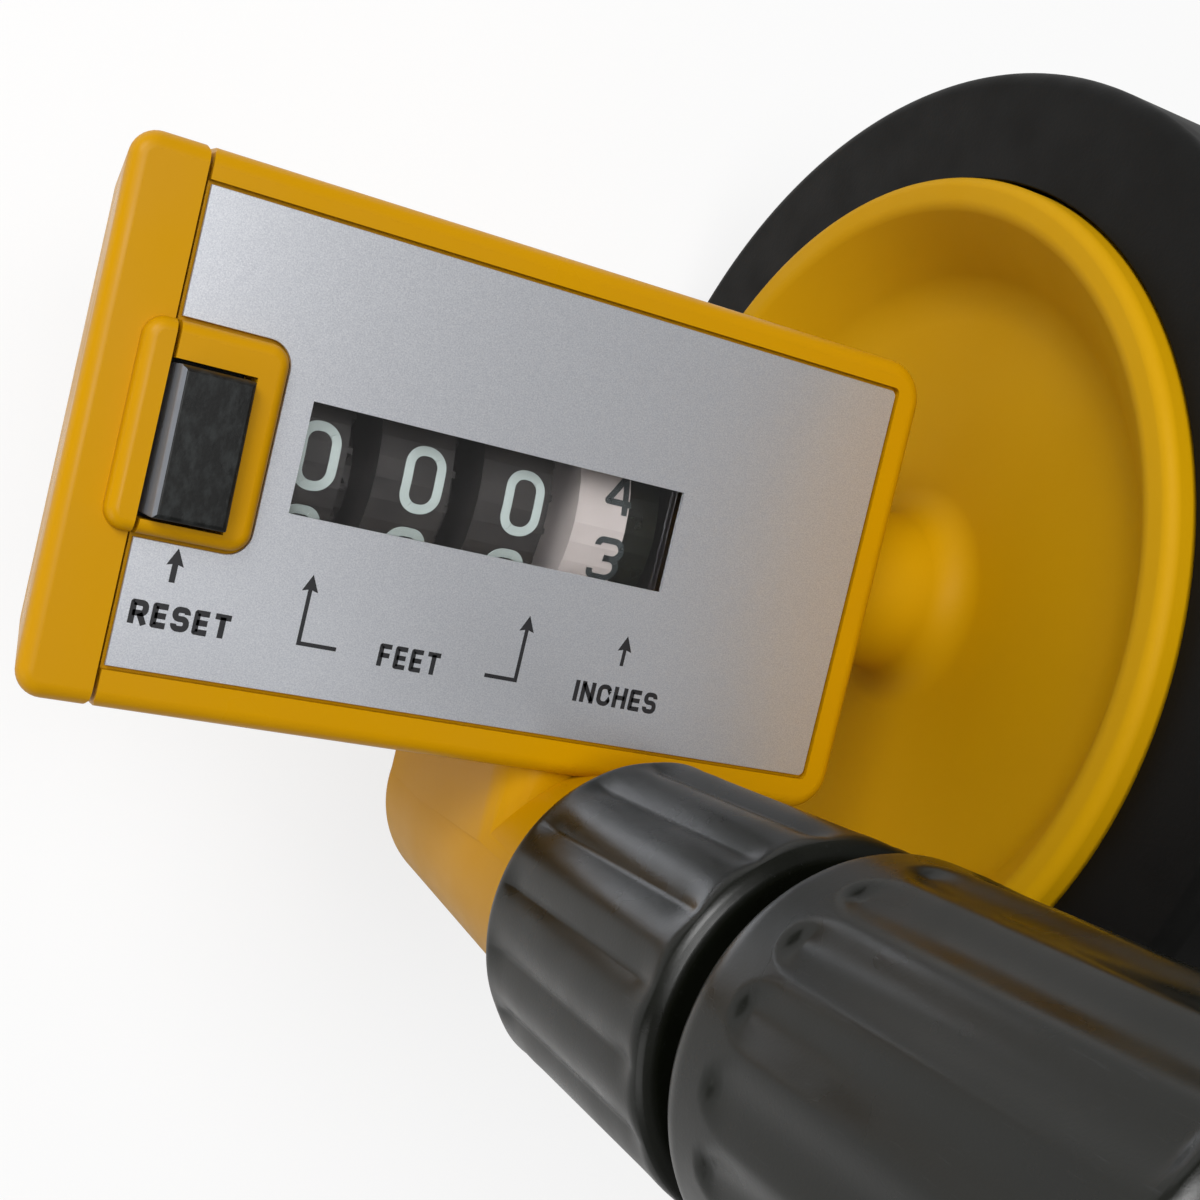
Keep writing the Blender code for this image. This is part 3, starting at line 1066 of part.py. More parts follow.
def make_handle():
    """The telescopic handle: three tubes, two twist collars with their collets, and the grip."""
    tube = material("tube_black", DARK_TUBE, 0.35, 0.6)
    black = material("collar_black", BLACK, 0.4)
    grip_rubber = material("grip_rubber", RUBBER, 0.7)
    steel = material("pin_steel", STEEL, 0.35, 1.0)
    acetal = material("pinion_acetal", ACETAL, 0.4)
    axis = at(HANDLE_X, HANDLE_Y, 0)
    floor = SOCKET_BOTTOM + SOCKET_FLOOR + GAP
    inner = ring("inner_tube", INNER_TUBE_R - INNER_WALL, INNER_TUBE_R, floor, INNER_TUBE_TOP,
                 "Z", axis, tube)
    pin_low, pin_high = pin_span()
    pin_place = at(HANDLE_X, 0, PIN_DEPTH)
    turned("socket_pin", [(0, pin_low), (PIN_R, pin_low), (PIN_R, pin_high), (0, pin_high)],
           "Y", pin_place, steel, SMALL_STEPS)
    pin_way = turned("tube_pin_hole", [(0, pin_low - OVERRUN), (PIN_R + GAP, pin_low - OVERRUN),
                                       (PIN_R + GAP, pin_high + GAP), (0, pin_high + GAP)],
                     "Y", pin_place, steps=SMALL_STEPS)
    combine(inner, "DIFFERENCE", pin_way)
    middle_inside = MIDDLE_TUBE_R - MIDDLE_WALL
    outer_inside = OUTER_TUBE_R - OUTER_WALL
    tube_plug("inner_guide_bush", INNER_TUBE_R - INNER_WALL, middle_inside - RUNNING_GAP,
              INNER_TUBE_R - INNER_WALL - BUSH_WALL, INNER_TUBE_TOP, acetal)

    middle = ring("middle_tube", middle_inside, MIDDLE_TUBE_R, MIDDLE_TUBE_BOTTOM, MIDDLE_TUBE_TOP,
                  "Z", axis, tube)
    middle_bush = tube_plug("middle_guide_bush", middle_inside, outer_inside - RUNNING_GAP,
                            middle_inside - BUSH_WALL, MIDDLE_TUBE_TOP, acetal)
    collet_low = COLLAR_BOTTOM + COLLAR_LIP + GAP
    collet = ring("lower_collet", INNER_TUBE_R + GAP, COLLET_R, collet_low, collet_low + COLLET_LENGTH,
                  "Z", axis, acetal, SMALL_STEPS)
    outer = ring("outer_tube", outer_inside, OUTER_TUBE_R, OUTER_TUBE_BOTTOM, OUTER_TUBE_TOP,
                 "Z", axis, tube)
    upper_low = UPPER_BOTTOM + COLLAR_LIP + GAP
    upper_collet = ring("upper_collet", MIDDLE_TUBE_R + GAP, UPPER_COLLET_R, upper_low,
                        upper_low + COLLET_LENGTH, "Z", axis, acetal, SMALL_STEPS)
    grip_bore = OUTER_TUBE_R + GAP
    corner = GRIP_ROUND / 3
    grip = turned("grip", [
        (grip_bore, GRIP_BOTTOM), (GRIP_R - GRIP_ROUND, GRIP_BOTTOM),
        (GRIP_R - corner, GRIP_BOTTOM + corner), (GRIP_R, GRIP_BOTTOM + GRIP_ROUND),
        (GRIP_R, OUTER_TUBE_TOP - GRIP_ROUND),
        (GRIP_R - corner, OUTER_TUBE_TOP), (grip_bore, OUTER_TUBE_TOP)], "Z", axis, grip_rubber)
    plug_r = outer_inside - GAP
    head_low = OUTER_TUBE_TOP + GAP
    head_high = head_low + PLUG_HEAD
    plug = turned("grip_plug", [
        (0, OUTER_TUBE_TOP - PLUG_STEM), (plug_r, OUTER_TUBE_TOP - PLUG_STEM), (plug_r, head_low),
        (GRIP_R - corner, head_low), (GRIP_R, head_low + corner), (GRIP_R, head_high - PLUG_ROUND),
        (GRIP_R - PLUG_ROUND / 3, head_high - PLUG_ROUND / 3), (GRIP_R - PLUG_ROUND, head_high),
        (0, head_high)], "Z", axis, black)
    for obj in (middle, middle_bush, collet, outer, upper_collet, grip, plug):
        pivot(obj, axis)
    carrier("middle_slide", axis, middle, middle_bush, collet)
    carrier("outer_slide", axis, outer, upper_collet, grip, plug)
    fluted("lower_collar", COLLAR_BOTTOM, COLLAR_LENGTH, (COLLAR_LOW_R, COLLAR_HIGH_R), COLLAR_ROUND,
           COLLAR_ROUND, INNER_TUBE_R + GAP, COLLET_R + GAP, MIDDLE_TUBE_R + GAP, FLUTES, FLUTE_DEPTH, black)
    fluted("upper_collar", UPPER_BOTTOM, UPPER_COLLAR_LENGTH, (UPPER_COLLAR_LOW_R, UPPER_COLLAR_HIGH_R),
           UPPER_COLLAR_ROUND, UPPER_PLAIN, MIDDLE_TUBE_R + GAP, UPPER_COLLET_R + GAP, OUTER_TUBE_R + GAP,
           RIBS, RIB_DEPTH, black)


def main():
    """Build the whole instrument at rest, with its handle pushed in."""
    clear_scene()
    make_case()
    make_screws()
    make_counter()
    make_reset()
    make_wheel()
    make_handle()


main()
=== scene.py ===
"""Looks of a small measuring wheel: a yellow case with a drum counter, a rubber-tyred wheel and a handle.

Shapes are worked out in millimetres in the case's own frame. U runs along the axle from the middle of
the label, V runs up the label, and N comes out of its face. Depths inside the case are negative.
"""

import logging
from dataclasses import dataclass, field
from enum import Enum
from typing import Callable, Optional, Sequence, Union

import bpy
import numpy as np
from mathutils import Matrix, Vector


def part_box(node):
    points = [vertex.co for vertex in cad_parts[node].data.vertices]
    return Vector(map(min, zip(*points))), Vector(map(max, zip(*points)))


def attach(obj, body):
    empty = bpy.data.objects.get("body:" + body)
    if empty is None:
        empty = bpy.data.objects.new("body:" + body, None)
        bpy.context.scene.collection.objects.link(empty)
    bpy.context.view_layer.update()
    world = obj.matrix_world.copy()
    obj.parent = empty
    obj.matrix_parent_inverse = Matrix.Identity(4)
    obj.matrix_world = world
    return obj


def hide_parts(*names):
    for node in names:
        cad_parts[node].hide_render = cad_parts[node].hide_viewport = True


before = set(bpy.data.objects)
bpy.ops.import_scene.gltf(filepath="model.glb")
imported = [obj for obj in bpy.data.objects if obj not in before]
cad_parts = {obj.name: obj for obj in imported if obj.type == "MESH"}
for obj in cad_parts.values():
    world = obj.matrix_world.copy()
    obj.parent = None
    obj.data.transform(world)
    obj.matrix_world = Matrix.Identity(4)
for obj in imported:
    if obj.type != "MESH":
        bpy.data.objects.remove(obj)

LOG = logging.getLogger("measuring_wheel")
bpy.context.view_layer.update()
MM = 0.001
Array = np.ndarray
Piece = bpy.types.Object
Tree = bpy.types.NodeTree
Socket = bpy.types.NodeSocket
Pair = tuple[float, float]
Triple = tuple[float, float, float]
Quad = tuple[float, float, float, float]
Relief = Callable[[Array, Array], Array]
WHITE = (1.0, 1.0, 1.0, 1.0)

# Cutters reach this far past what they cut, and added parts sink this far into what they join
BEYOND = 4.0
SUNK = 0.4
# The least radius of a rounded corner, and the least cosines that the shift of a path's corner is divided by
LEAST_RADIUS = 0.03
INSET_COSINE = 0.5
RIBBON_COSINE = 0.6
# The axle's depth, the handle's axis on U and V, and the middle of the button's stem
AXLE_DEPTH = -12.5
HANDLE_AXIS = (13.2, -29.07)
STEM_PLACE = (-27.0, -0.75, 0.0)


class Body(Enum):
    """The moving bodies that pieces ride on."""

    HOUSING = "housing"
    WHEEL = "wheel"
    INCHES = "inch_drum"
    ONES = "feet_ones"
    TENS = "feet_tens"
    HUNDREDS = "feet_hundreds"
    BUTTON = "button"
    MIDDLE = "middle_section"
    LOWER_COLLAR = "lower_collar"
    GRIP = "grip_section"
    UPPER_COLLAR = "upper_collar"


class Slot(Enum):
    """The record's material slots of the drawn pieces."""

    YELLOW = "yellow_abs"
    LABEL = "silver_label"
    BUTTON = "button_plastic"
    DRUM_BLACK = "drum_black"
    DRUM_WHITE = "drum_white"
    TYRE = "tyre_rubber"
    TUBE = "tube_black"
    COLLAR = "collar_plastic"
    GRIP = "grip_rubber"


class Along(Enum):
    """Which of a shape's own (a, b, height) coordinates goes to U, V and N."""

    U = (2, 0, 1)
    V = (1, 2, 0)
    N = (0, 1, 2)


class Ends(Enum):
    """How a stack of rings is closed: by a flat face at each end, or by joining the last to the first."""

    FLAT = "flat"
    LOOP = "loop"


def srgb(code: str) -> Quad:
    """Turn an sRGB hex colour into linear red, green, blue and alpha.

    Args:
        code: Six hex digits.

    Returns:
        The linear colour with an alpha of 1.
    """
    value = np.array([int(code[i:i + 2], 16) for i in (0, 2, 4)]) / 255
    linear = np.where(value <= 0.04045, value / 12.92, ((value + 0.055) / 1.055) ** 2.4)
    return (*linear.tolist(), 1.0)


def unit(vectors: Array) -> Array:
    """Vectors of length 1, along the last axis."""
    return vectors / np.maximum(np.linalg.norm(vectors, axis=-1, keepdims=True), 1e-12)


@dataclass
class Shell:
    """A surface as points in millimetres and blocks of faces, each block an array of corner numbers."""

    points: Array
    blocks: list[Array]

    def volume(self) -> float:
        """The enclosed volume by the divergence theorem: a sixth of a . (b x c) over each face's fan."""
        total = 0.0
        for block in self.blocks:
            for corner in range(1, block.shape[1] - 1):
                a, b, c = (self.points[block[:, i]] for i in (0, corner, corner + 1))
                total += float(np.einsum("ij,ij->", a, np.cross(b, c))) / 6
        return total

    def outward(self) -> "Shell":
        """The same surface with its faces pointing out."""
        if self.volume() < 0:
            self.blocks = [block[:, ::-1] for block in self.blocks]
        return self

    def joined(self, *others: "Shell") -> "Shell":
        """This surface and others as one mesh of several closed shells.

        Args:
            others: The surfaces to add.

        Returns:
            The joined surface.
        """
        points, blocks, count = [self.points], list(self.blocks), len(self.points)
        for other in others:
            points.append(other.points)
            blocks += [block + count for block in other.blocks]
            count += len(other.points)
        return Shell(np.concatenate(points), blocks)


def fillet(corners: Sequence[Sequence[float]], radii: Sequence[float], closed: bool,
           steps: int = 8) -> Array:
    """Round the corners of a flat polyline with arcs.

    The arc at a corner touches both sides at radius / tan(half angle) from it, and its centre is
    radius / sin(half angle) away along the bisector. Its points are start and end mixed by
    sin((1 - t) * angle) and sin(t * angle) over sin(angle).

    Args:
        corners: The polyline's corners.
        radii: One radius for each corner, 0 to leave it sharp.
        closed: Whether the last corner joins the first.
        steps: Points on each arc.

    Returns:
        The rounded outline, as rows of two coordinates.
    """
    corners = np.asarray(corners, float)
    parts = []
    for index, (corner, radius) in enumerate(zip(corners, radii)):
        if radius <= 0 or (not closed and index in (0, len(corners) - 1)):
            parts.append(corner[None])
            continue
        before = unit(corners[index - 1] - corner)
        after = unit(corners[(index + 1) % len(corners)] - corner)
        half = np.arccos(np.clip(before @ after, -1, 1)) / 2
        centre = corner + unit(before + after) * radius / np.sin(half)
        start = corner + before * radius / np.tan(half) - centre
        end = corner + after * radius / np.tan(half) - centre
        angle = np.arccos(np.clip(start @ end / radius ** 2, -1, 1))
        share = np.linspace(0, 1, steps)[:, None]
        arc = np.sin((1 - share) * angle) * start + np.sin(share * angle) * end
        parts.append(centre + arc / np.sin(angle))
    return np.concatenate(parts)


def finer(path: Array, spacing: float) -> Array:
    """Add evenly spaced points to a path and keep its own.

    Args:
        path: Rows of two coordinates.
        spacing: The longest step that is left between two points.

    Returns:
        The path with linear points put in by distance along it.
    """
    lengths = np.linalg.norm(np.diff(path, axis=0), axis=1)
    travelled = np.concatenate([[0.0], np.cumsum(lengths)])
    extra = np.arange(0, travelled[-1], spacing)
    places = np.unique(np.round(np.concatenate([travelled, extra]), 4))
    return np.stack([np.interp(places, travelled, path[:, i]) for i in (0, 1)], axis=1)


def inset(outline: Array, distance: float) -> Array:
    """Move an anticlockwise outline in along its bisectors, by distance over the half turn's cosine."""
    before = unit(outline - np.roll(outline, 1, axis=0))
    after = unit(np.roll(outline, -1, axis=0) - outline)
    normals = unit(np.stack([-(before + after)[:, 1], (before + after)[:, 0]], axis=1))
    sides = np.stack([-before[:, 1], before[:, 0]], axis=1)
    cosine = np.maximum(np.einsum("ij,ij->i", normals, sides), INSET_COSINE)
    return outline + normals * (distance / cosine)[:, None]


def loft(rings: Array, ends: Ends) -> Shell:
    """Skin a stack of closed rings with four-sided faces.

    Args:
        rings: An array of (ring, point, coordinate).
        ends: How the stack is closed.

    Returns:
        The closed surface.
    """
    rows, columns = rings.shape[:2]
    numbers = np.arange(rows * columns).reshape(rows, columns)
    upper = np.roll(numbers, -1, axis=0)
    if ends is Ends.FLAT:
        numbers, upper = numbers[:-1], upper[:-1]
    quads = np.stack([numbers, np.roll(numbers, -1, axis=1), np.roll(upper, -1, axis=1), upper], axis=-1)
    blocks = [quads.reshape(-1, 4)]
    if ends is Ends.FLAT:
        blocks += [numbers[:1, ::-1], upper[-1:]]
    return Shell(rings.reshape(-1, 3), blocks).outward()


def turn(profile: Array, along: Along, centre: Sequence[float], ends: Ends = Ends.FLAT, steps: int = 160,
         relief: Optional[Relief] = None) -> Shell:
    """Turn a profile of (radius, height) about an axis: a = r cos(angle), b = r sin(angle).

    Args:
        profile: Rows of radius and height.
        along: The axis.
        centre: A point on the axis.
        ends: FLAT for a solid, LOOP for a ring whose profile is a closed outline.
        steps: Points round the axis.
        relief: A change of the radius as a function of angle and height.

    Returns:
        The closed surface.
    """
    angles = np.linspace(0, 2 * np.pi, steps, endpoint=False)[None]
    radius = profile[:, :1] + (relief(angles, profile[:, 1:]) if relief else 0 * angles)
    local = np.stack([radius * np.cos(angles), radius * np.sin(angles), profile[:, 1:] + 0 * angles], axis=-1)
    return loft(np.asarray(centre) + local[..., list(along.value)], ends)


def plate(outline: Array, low: float, high: float, edge: float = 0.0, along: Along = Along.N) -> Shell:
    """Extrude an anticlockwise outline between two heights, with a chamfer of the given size at both ends."""
    levels = [(0.0, low), (0.0, high)]
    if edge:
        levels = [(edge, low), (0.0, low + edge), (0.0, high - edge), (edge, high)]
    rings = [np.column_stack([inset(outline, back) if back else outline, np.full(len(outline), height)])
             for back, height in levels]
    return loft(np.stack(rings)[..., list(along.value)], Ends.FLAT)


def rectangle(left: float, bottom: float, right: float, top: float) -> Array:
    """The anticlockwise outline of a rectangle."""
    return np.array([(left, bottom), (right, bottom), (right, top), (left, top)], float)


def grown(box: Sequence[float], margin: float) -> Array:
    """The outline of a (left, bottom, right, top) box with a margin added all round."""
    left, bottom, right, top = box
    return rectangle(left - margin, bottom - margin, right + margin, top + margin)


def soft_box(low: Sequence[float], high: Sequence[float], corners: Sequence[float], top: float,
             bottom: float = 0.0, steps: int = 10) -> Shell:
    """A box whose upright corners, upper rim and lower rim are rounded.

    Ring by ring, a rim of radius r stands in by r (1 - sin t) at a height of r (1 - cos t) below
    its face, and each corner's radius shrinks by the same amount.

    Args:
        low: The lowest corner.
        high: The highest corner.
        corners: Radii of the four upright corners, from the lower left anticlockwise.
        top: The upper rim's radius.
        bottom: The lower rim's radius.
        steps: Points on each arc.

    Returns:
        The closed surface.
    """
    turns = np.linspace(0, np.pi / 2, steps)
    levels = [(0.0, low[2])]
    if bottom:
        levels = [(bottom * (1 - np.sin(t)), low[2] + bottom * (1 - np.cos(t))) for t in turns]
    levels += [(top * (1 - np.cos(t)), high[2] - top * (1 - np.sin(t))) for t in turns]
    rings = []
    for back, height in levels:
        outline = rectangle(low[0] + back, low[1] + back, high[0] - back, high[1] - back)
        rounded = fillet(outline, [max(radius - back, LEAST_RADIUS) for radius in corners], True, steps)
        rings.append(np.column_stack([rounded, np.full(len(rounded), height)]))
    return loft(np.stack(rings), Ends.FLAT)


def rod(radius: float, low: float, high: float, along: Along, centre: Sequence[float],
        steps: int = 64) -> Shell:
    """A plain round cutter."""
    return turn(np.array([(radius, low), (radius, high)], float), along, centre, steps=steps)


def ribbon(path: Array, width: float, low: float, high: float, closed: bool) -> Shell:
    """A flat strip of constant width along a path: the path shifted half a width to each side of itself.

    Args:
        path: Rows of two coordinates.
        width: The strip's width.
        low: Height of its underside.
        high: Height of its face.
        closed: Whether the path returns to its start.

    Returns:
        The closed strip, as points of (across, along, height).
    """
    ahead = unit(np.roll(path, -1, axis=0) - path)
    behind = unit(path - np.roll(path, 1, axis=0))
    if not closed:
        ahead[-1], behind[0] = behind[-1], ahead[0]
    tangent = unit(ahead + behind)
    cosine = np.maximum(np.einsum("ij,ij->i", tangent, ahead), RIBBON_COSINE)[:, None]
    side = np.stack([-tangent[:, 1], tangent[:, 0]], axis=1) * width / 2 / cosine
    heights = np.array([low, high, high, low])[None, :, None]
    flat = np.stack([path - side, path - side, path + side, path + side], axis=1)
    rings = np.concatenate([flat, heights + 0 * flat[..., :1]], axis=2)
    return loft(rings, Ends.LOOP if closed else Ends.FLAT)


@dataclass(frozen=True)
class Datum:
    """Where the case's own frame lies in the part's frame, in millimetres."""

    middle_u: float
    face_z: float
    label_sink: float = 0.05

    @classmethod
    def of_frame(cls) -> "Datum":
        """Read the frame's place from the label, which lies 0.3 mm right of U -30 and ends at U 29.7."""
        low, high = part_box("face_label")
        return cls(-(low.x + high.x) / 2 / MM, high.z / MM + cls.label_sink)

    def world(self, points: Array) -> Array:
        """Points of the case's frame as metres in the part's frame."""
        return (points + np.array([-self.middle_u, 0.0, self.face_z])) * MM


DATUM = Datum.of_frame()


def make_object(name: str, shell: Shell) -> Piece:
    """Put a surface into a new object that sits at the origin.

    Args:
        name: The object's name.
        shell: The surface in millimetres.

    Returns:
        The object, linked to the scene.
    """
    mesh = bpy.data.meshes.new(name)
    faces = [row for block in shell.blocks for row in block.tolist()]
    mesh.from_pydata(DATUM.world(shell.points).tolist(), [], faces)
    mesh.validate()
    obj = bpy.data.objects.new(name, mesh)
    bpy.context.scene.collection.objects.link(obj)
    return obj


def settle(obj: Piece) -> None:
    """Replace an object's mesh by the one that its modifiers make, and take them off."""
    graph = bpy.context.evaluated_depsgraph_get()
    made = bpy.data.meshes.new_from_object(obj.evaluated_get(graph))
    obj.modifiers.clear()
    obj.data = made


def carve(obj: Piece, operation: str, *shells: Shell) -> None:
    """Join surfaces to an object or cut them from it.

    Args:
        obj: The object to change.
        operation: UNION or DIFFERENCE.
        shells: The surfaces.
    """
    tools = [make_object(f"{obj.name}_tool", shell) for shell in shells]
    for tool in tools:
        modifier = obj.modifiers.new("carve", "BOOLEAN")
        modifier.operation = operation
        modifier.solver = "EXACT"
        modifier.object = tool
    settle(obj)
    for tool in tools:
        bpy.data.objects.remove(tool)


def smooth(obj: Piece, degrees: float = 32.0, flats: bool = False) -> None:
    """Shade an object smooth, with edges over an angle left sharp.

    Args:
        obj: The object.
        degrees: The least angle of a sharp edge.
        flats: Weight the shading by face size, which keeps wide flat faces flat beside rounded edges.
    """
    obj.data.shade_smooth()
    obj.data.set_sharp_from_angle(angle=np.radians(degrees))
    if flats:
        modifier = obj.modifiers.new("flat faces", "WEIGHTED_NORMAL")
        modifier.keep_sharp = True
        settle(obj)


def publish(obj: Piece, finish: "Finish", body: Body, slot: Slot, *nodes: str) -> Piece:
    """Dress a finished piece and hang it on its body.

    Args:
        obj: The piece.
        finish: Its surface.
        body: The body that it rides on.
        slot: The record's material slot of the piece; not used.
        nodes: CAD nodes that it stands for.

    Returns:
        The piece.
    """
    obj.data.materials.clear()
    obj.data.materials.append(finish.material())
    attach(obj, body.value)
    if nodes:
        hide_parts(*nodes)
    LOG.info("%s: %d faces on %s", obj.name, len(obj.data.polygons), body.value)
    return obj


def add_node(tree: Tree, kind: str, inputs: Optional[dict] = None,
             **settings: object) -> bpy.types.Node:
    """Add a shader node with its settings and links.

    Args:
        tree: The node tree.
        kind: The node's type.
        inputs: For each input's name or number, an output socket to link or a plain value.
        settings: Properties of the node.

    Returns:
        The node.
    """
    node = tree.nodes.new(kind)
    for key, value in settings.items():
        setattr(node, key, value)
    for key, value in (inputs or {}).items():
        if isinstance(value, Socket):
            tree.links.new(value, node.inputs[key])
        else:
            node.inputs[key].default_value = value
    return node


def per_mm(size: float) -> float:
    """The scale of a pattern on Object coordinates, in metres, whose features are so many mm wide."""
    return 1 / (size * MM)


@dataclass(frozen=True)
class Shading:
    """A material's node tree, and the nodes that the finishes share."""

    tree: Tree

    @property
    def shader(self) -> bpy.types.Node:
        """The material's own shader."""
        return self.tree.nodes["Principled BSDF"]

    def noise(self, sizes: Sequence[float], detail: float, roughness: float = 0.5) -> Socket:
        """A noise on Object coordinates.

        Args:
            sizes: Width of its features in millimetres: one for all axes, or one for each.
            detail: How many finer layers it has.
            roughness: How strong each finer layer is.

        Returns:
            Its value.
        """
        place, scale = add_node(self.tree, "ShaderNodeTexCoord").outputs["Object"], per_mm(sizes[0])
        if len(sizes) > 1:
            stretch = {"Vector": place, "Scale": [per_mm(size) for size in sizes]}
            place, scale = add_node(self.tree, "ShaderNodeMapping", stretch).outputs["Vector"], 1.0
        inputs = {"Vector": place, "Scale": scale, "Detail": detail, "Roughness": roughness}
        return add_node(self.tree, "ShaderNodeTexNoise", inputs).outputs["Fac"]

    def spread(self, value: Socket, start: float, end: float, low: float, high: float) -> Socket:
        """Read a value between start and end as one between low and high, held at both ends."""
        inputs = {"Value": value, "From Min": start, "From Max": end, "To Min": low, "To Max": high}
        return add_node(self.tree, "ShaderNodeMapRange", inputs).outputs["Result"]

    def blend(self, share: Socket, first: Union[str, Socket], second: str) -> Socket:
        """Mix a hex colour into another one, or into a node's colour, by a share."""
        inputs = {0: share, 6: srgb(first) if isinstance(first, str) else first, 7: srgb(second)}
        return add_node(self.tree, "ShaderNodeMix", inputs, data_type="RGBA").outputs[2]

    def dress(self, tint: Socket, rough: Socket, height: Socket, height_mm: float, **more: float) -> None:
        """Give the shader its colour, roughness and bump.

        Args:
            tint: The colour.
            rough: The roughness.
            height: The bump's pattern.
            height_mm: The bump's height in millimetres.
            more: Plain values of further inputs.
        """
        bump = add_node(self.tree, "ShaderNodeBump", {"Height": height, "Strength": 1.0,
                                                      "Distance": height_mm * MM}).outputs["Normal"]
        for key, socket in (("Base Color", tint), ("Roughness", rough), ("Normal", bump)):
            self.tree.links.new(socket, self.shader.inputs[key])
        for key, value in more.items():
            self.shader.inputs[key].default_value = value


@dataclass(frozen=True)
class Finish:
    """What every surface has: a name, a colour and a roughness."""

    name: str
    colour: str
    roughness: float

    def material(self) -> bpy.types.Material:
        """The finish as a material, made once."""
        found = bpy.data.materials.get(self.name)
        if found:
            return found
        made = bpy.data.materials.new(self.name)
        made.use_nodes = True
        shading = Shading(made.node_tree)
        shading.shader.inputs["Base Color"].default_value = srgb(self.colour)
        shading.shader.inputs["Roughness"].default_value = self.roughness
        self.detail(shading)
        made.diffuse_color = srgb(self.colour)
        return made

    def detail(self, shading: Shading) -> None:
        """Add what this kind of surface shows. A plain finish adds nothing."""


@dataclass(frozen=True)
class Polymer(Finish):
    """A moulded plastic or rubber: slow patches of colour, the mould's grain, and pale scuffs."""

    patch: str
    patch_mm: float = 9.0
    grain_mm: float = 0.5
    bump_mm: float = 0.006
    roughness_spread: float = 0.08
    scuff: str = ""
    scuff_mm: Triple = (1.0, 1.0, 1.0)
    scuff_start: float = 0.6
    scuff_fade: float = 0.2
    scuff_strength: float = 0.5
    scuff_roughness: float = 0.25
    ior: float = 1.5

    def detail(self, shading: Shading) -> None:
        """Mix the two colours by a slow noise, lay scuffs over them, and raise the grain as a bump."""
        slow = shading.noise([self.patch_mm], 3.0)
        tint = shading.blend(slow, self.colour, self.patch)
        rough = shading.spread(slow, 0.3, 0.7, self.roughness - self.roughness_spread,
                               self.roughness + self.roughness_spread)
        if self.scuff:
            marks = shading.noise(self.scuff_mm, 5.0, 0.65)
            amount = shading.spread(marks, self.scuff_start, self.scuff_start + self.scuff_fade, 0.0,
                                    self.scuff_strength)
            tint = shading.blend(amount, tint, self.scuff)
            rough = add_node(shading.tree, "ShaderNodeMath", {0: amount, 1: self.scuff_roughness, 2: rough},
                             operation="MULTIPLY_ADD").outputs[0]
        shading.dress(tint, rough, shading.noise([self.grain_mm], 2.0), self.bump_mm, IOR=self.ior)


@dataclass(frozen=True)
class Metal(Finish):
    """A bare or plated metal: its own colour, drawn or turned marks and slight tarnish."""

    tarnish: str = "5A5A5C"
    tarnish_mm: float = 4.0
    mark_mm: Triple = (0.2, 0.2, 3.0)
    mark_height_mm: float = 0.003

    def detail(self, shading: Shading) -> None:
        """Stretch a noise along the marks for the bump and the roughness, and tarnish by a slow one."""
        marks = shading.noise(self.mark_mm, 3.0)
        dulled = shading.spread(shading.noise([self.tarnish_mm], 4.0), 0.5, 0.8, 0.0, 0.5)
        tint = shading.blend(dulled, self.colour, self.tarnish)
        rough = shading.spread(marks, 0.0, 1.0, self.roughness - 0.08, self.roughness + 0.12)
        shading.dress(tint, rough, marks, self.mark_height_mm, Metallic=1.0)


@dataclass(frozen=True)
class Foil(Finish):
    """A satin silver polyester label: metal flake under a thin matt film, which gives a fine sparkle."""

    flake: str = "E8EAEE"
    flake_mm: float = 0.11
    flake_height_mm: float = 0.002
    metallic: float = 0.75

    def detail(self, shading: Shading) -> None:
        """Speckle colour and roughness with flakes, drawn coarser than real ones so that they show."""
        flakes = shading.noise([self.flake_mm], 2.0, 0.8)
        tint = shading.blend(shading.spread(flakes, 0.35, 0.7, 0.0, 1.0), self.colour, self.flake)
        rough = shading.spread(flakes, 0.0, 1.0, self.roughness - 0.1, self.roughness + 0.1)
        shading.dress(tint, rough, flakes, self.flake_height_mm, Metallic=self.metallic)


@dataclass(frozen=True)
class Clear(Finish):
    """A clear acrylic sheet, faintly smeared, that lets light through to what is behind it."""

    smear_mm: float = 5.0
    ior: float = 1.49

    def detail(self, shading: Shading) -> None:
        """Transmit light, smear the gloss slightly, and pass shadow rays so that the drums are lit."""
        tree, shader = shading.tree, shading.shader
        rough = shading.spread(shading.noise([self.smear_mm], 4.0), 0.45, 1.0, self.roughness,
                               self.roughness + 0.12)
        tree.links.new(rough, shader.inputs["Roughness"])
        shader.inputs["Transmission Weight"].default_value = 1.0
        shader.inputs["IOR"].default_value = self.ior
        shadow = add_node(tree, "ShaderNodeLightPath").outputs["Is Shadow Ray"]
        through = add_node(tree, "ShaderNodeBsdfTransparent").outputs["BSDF"]
        mix = add_node(tree, "ShaderNodeMixShader", {0: shadow, 1: shader.outputs["BSDF"], 2: through})
        tree.links.new(mix.outputs["Shader"], tree.nodes["Material Output"].inputs["Surface"])


# Moulded ABS: glossy enough for soft highlights, with the mould's faint orange peel
YELLOW_ABS = Polymer("moulded_yellow_abs", "C18C00", 0.34, patch="BB8600", grain_mm=0.9, bump_mm=0.004,
                     ior=1.25)
# The wheel's disc comes from a blasted mould, which leaves it almost matt
MATT_YELLOW_ABS = Polymer("matt_yellow_abs", "BF9000", 0.6, patch="BC8C00", grain_mm=0.5, bump_mm=0.01,
                          ior=1.2)
# Injection-moulded polypropylene, black with pale rub marks
BLACK_CAP = Polymer("moulded_black_button", "131414", 0.45, patch="0C0D0C", patch_mm=1.2, grain_mm=0.25,
                    bump_mm=0.012, scuff="2E3131", scuff_mm=(0.8, 1.6, 0.8), scuff_start=0.46,
                    scuff_strength=0.6, ior=1.35)
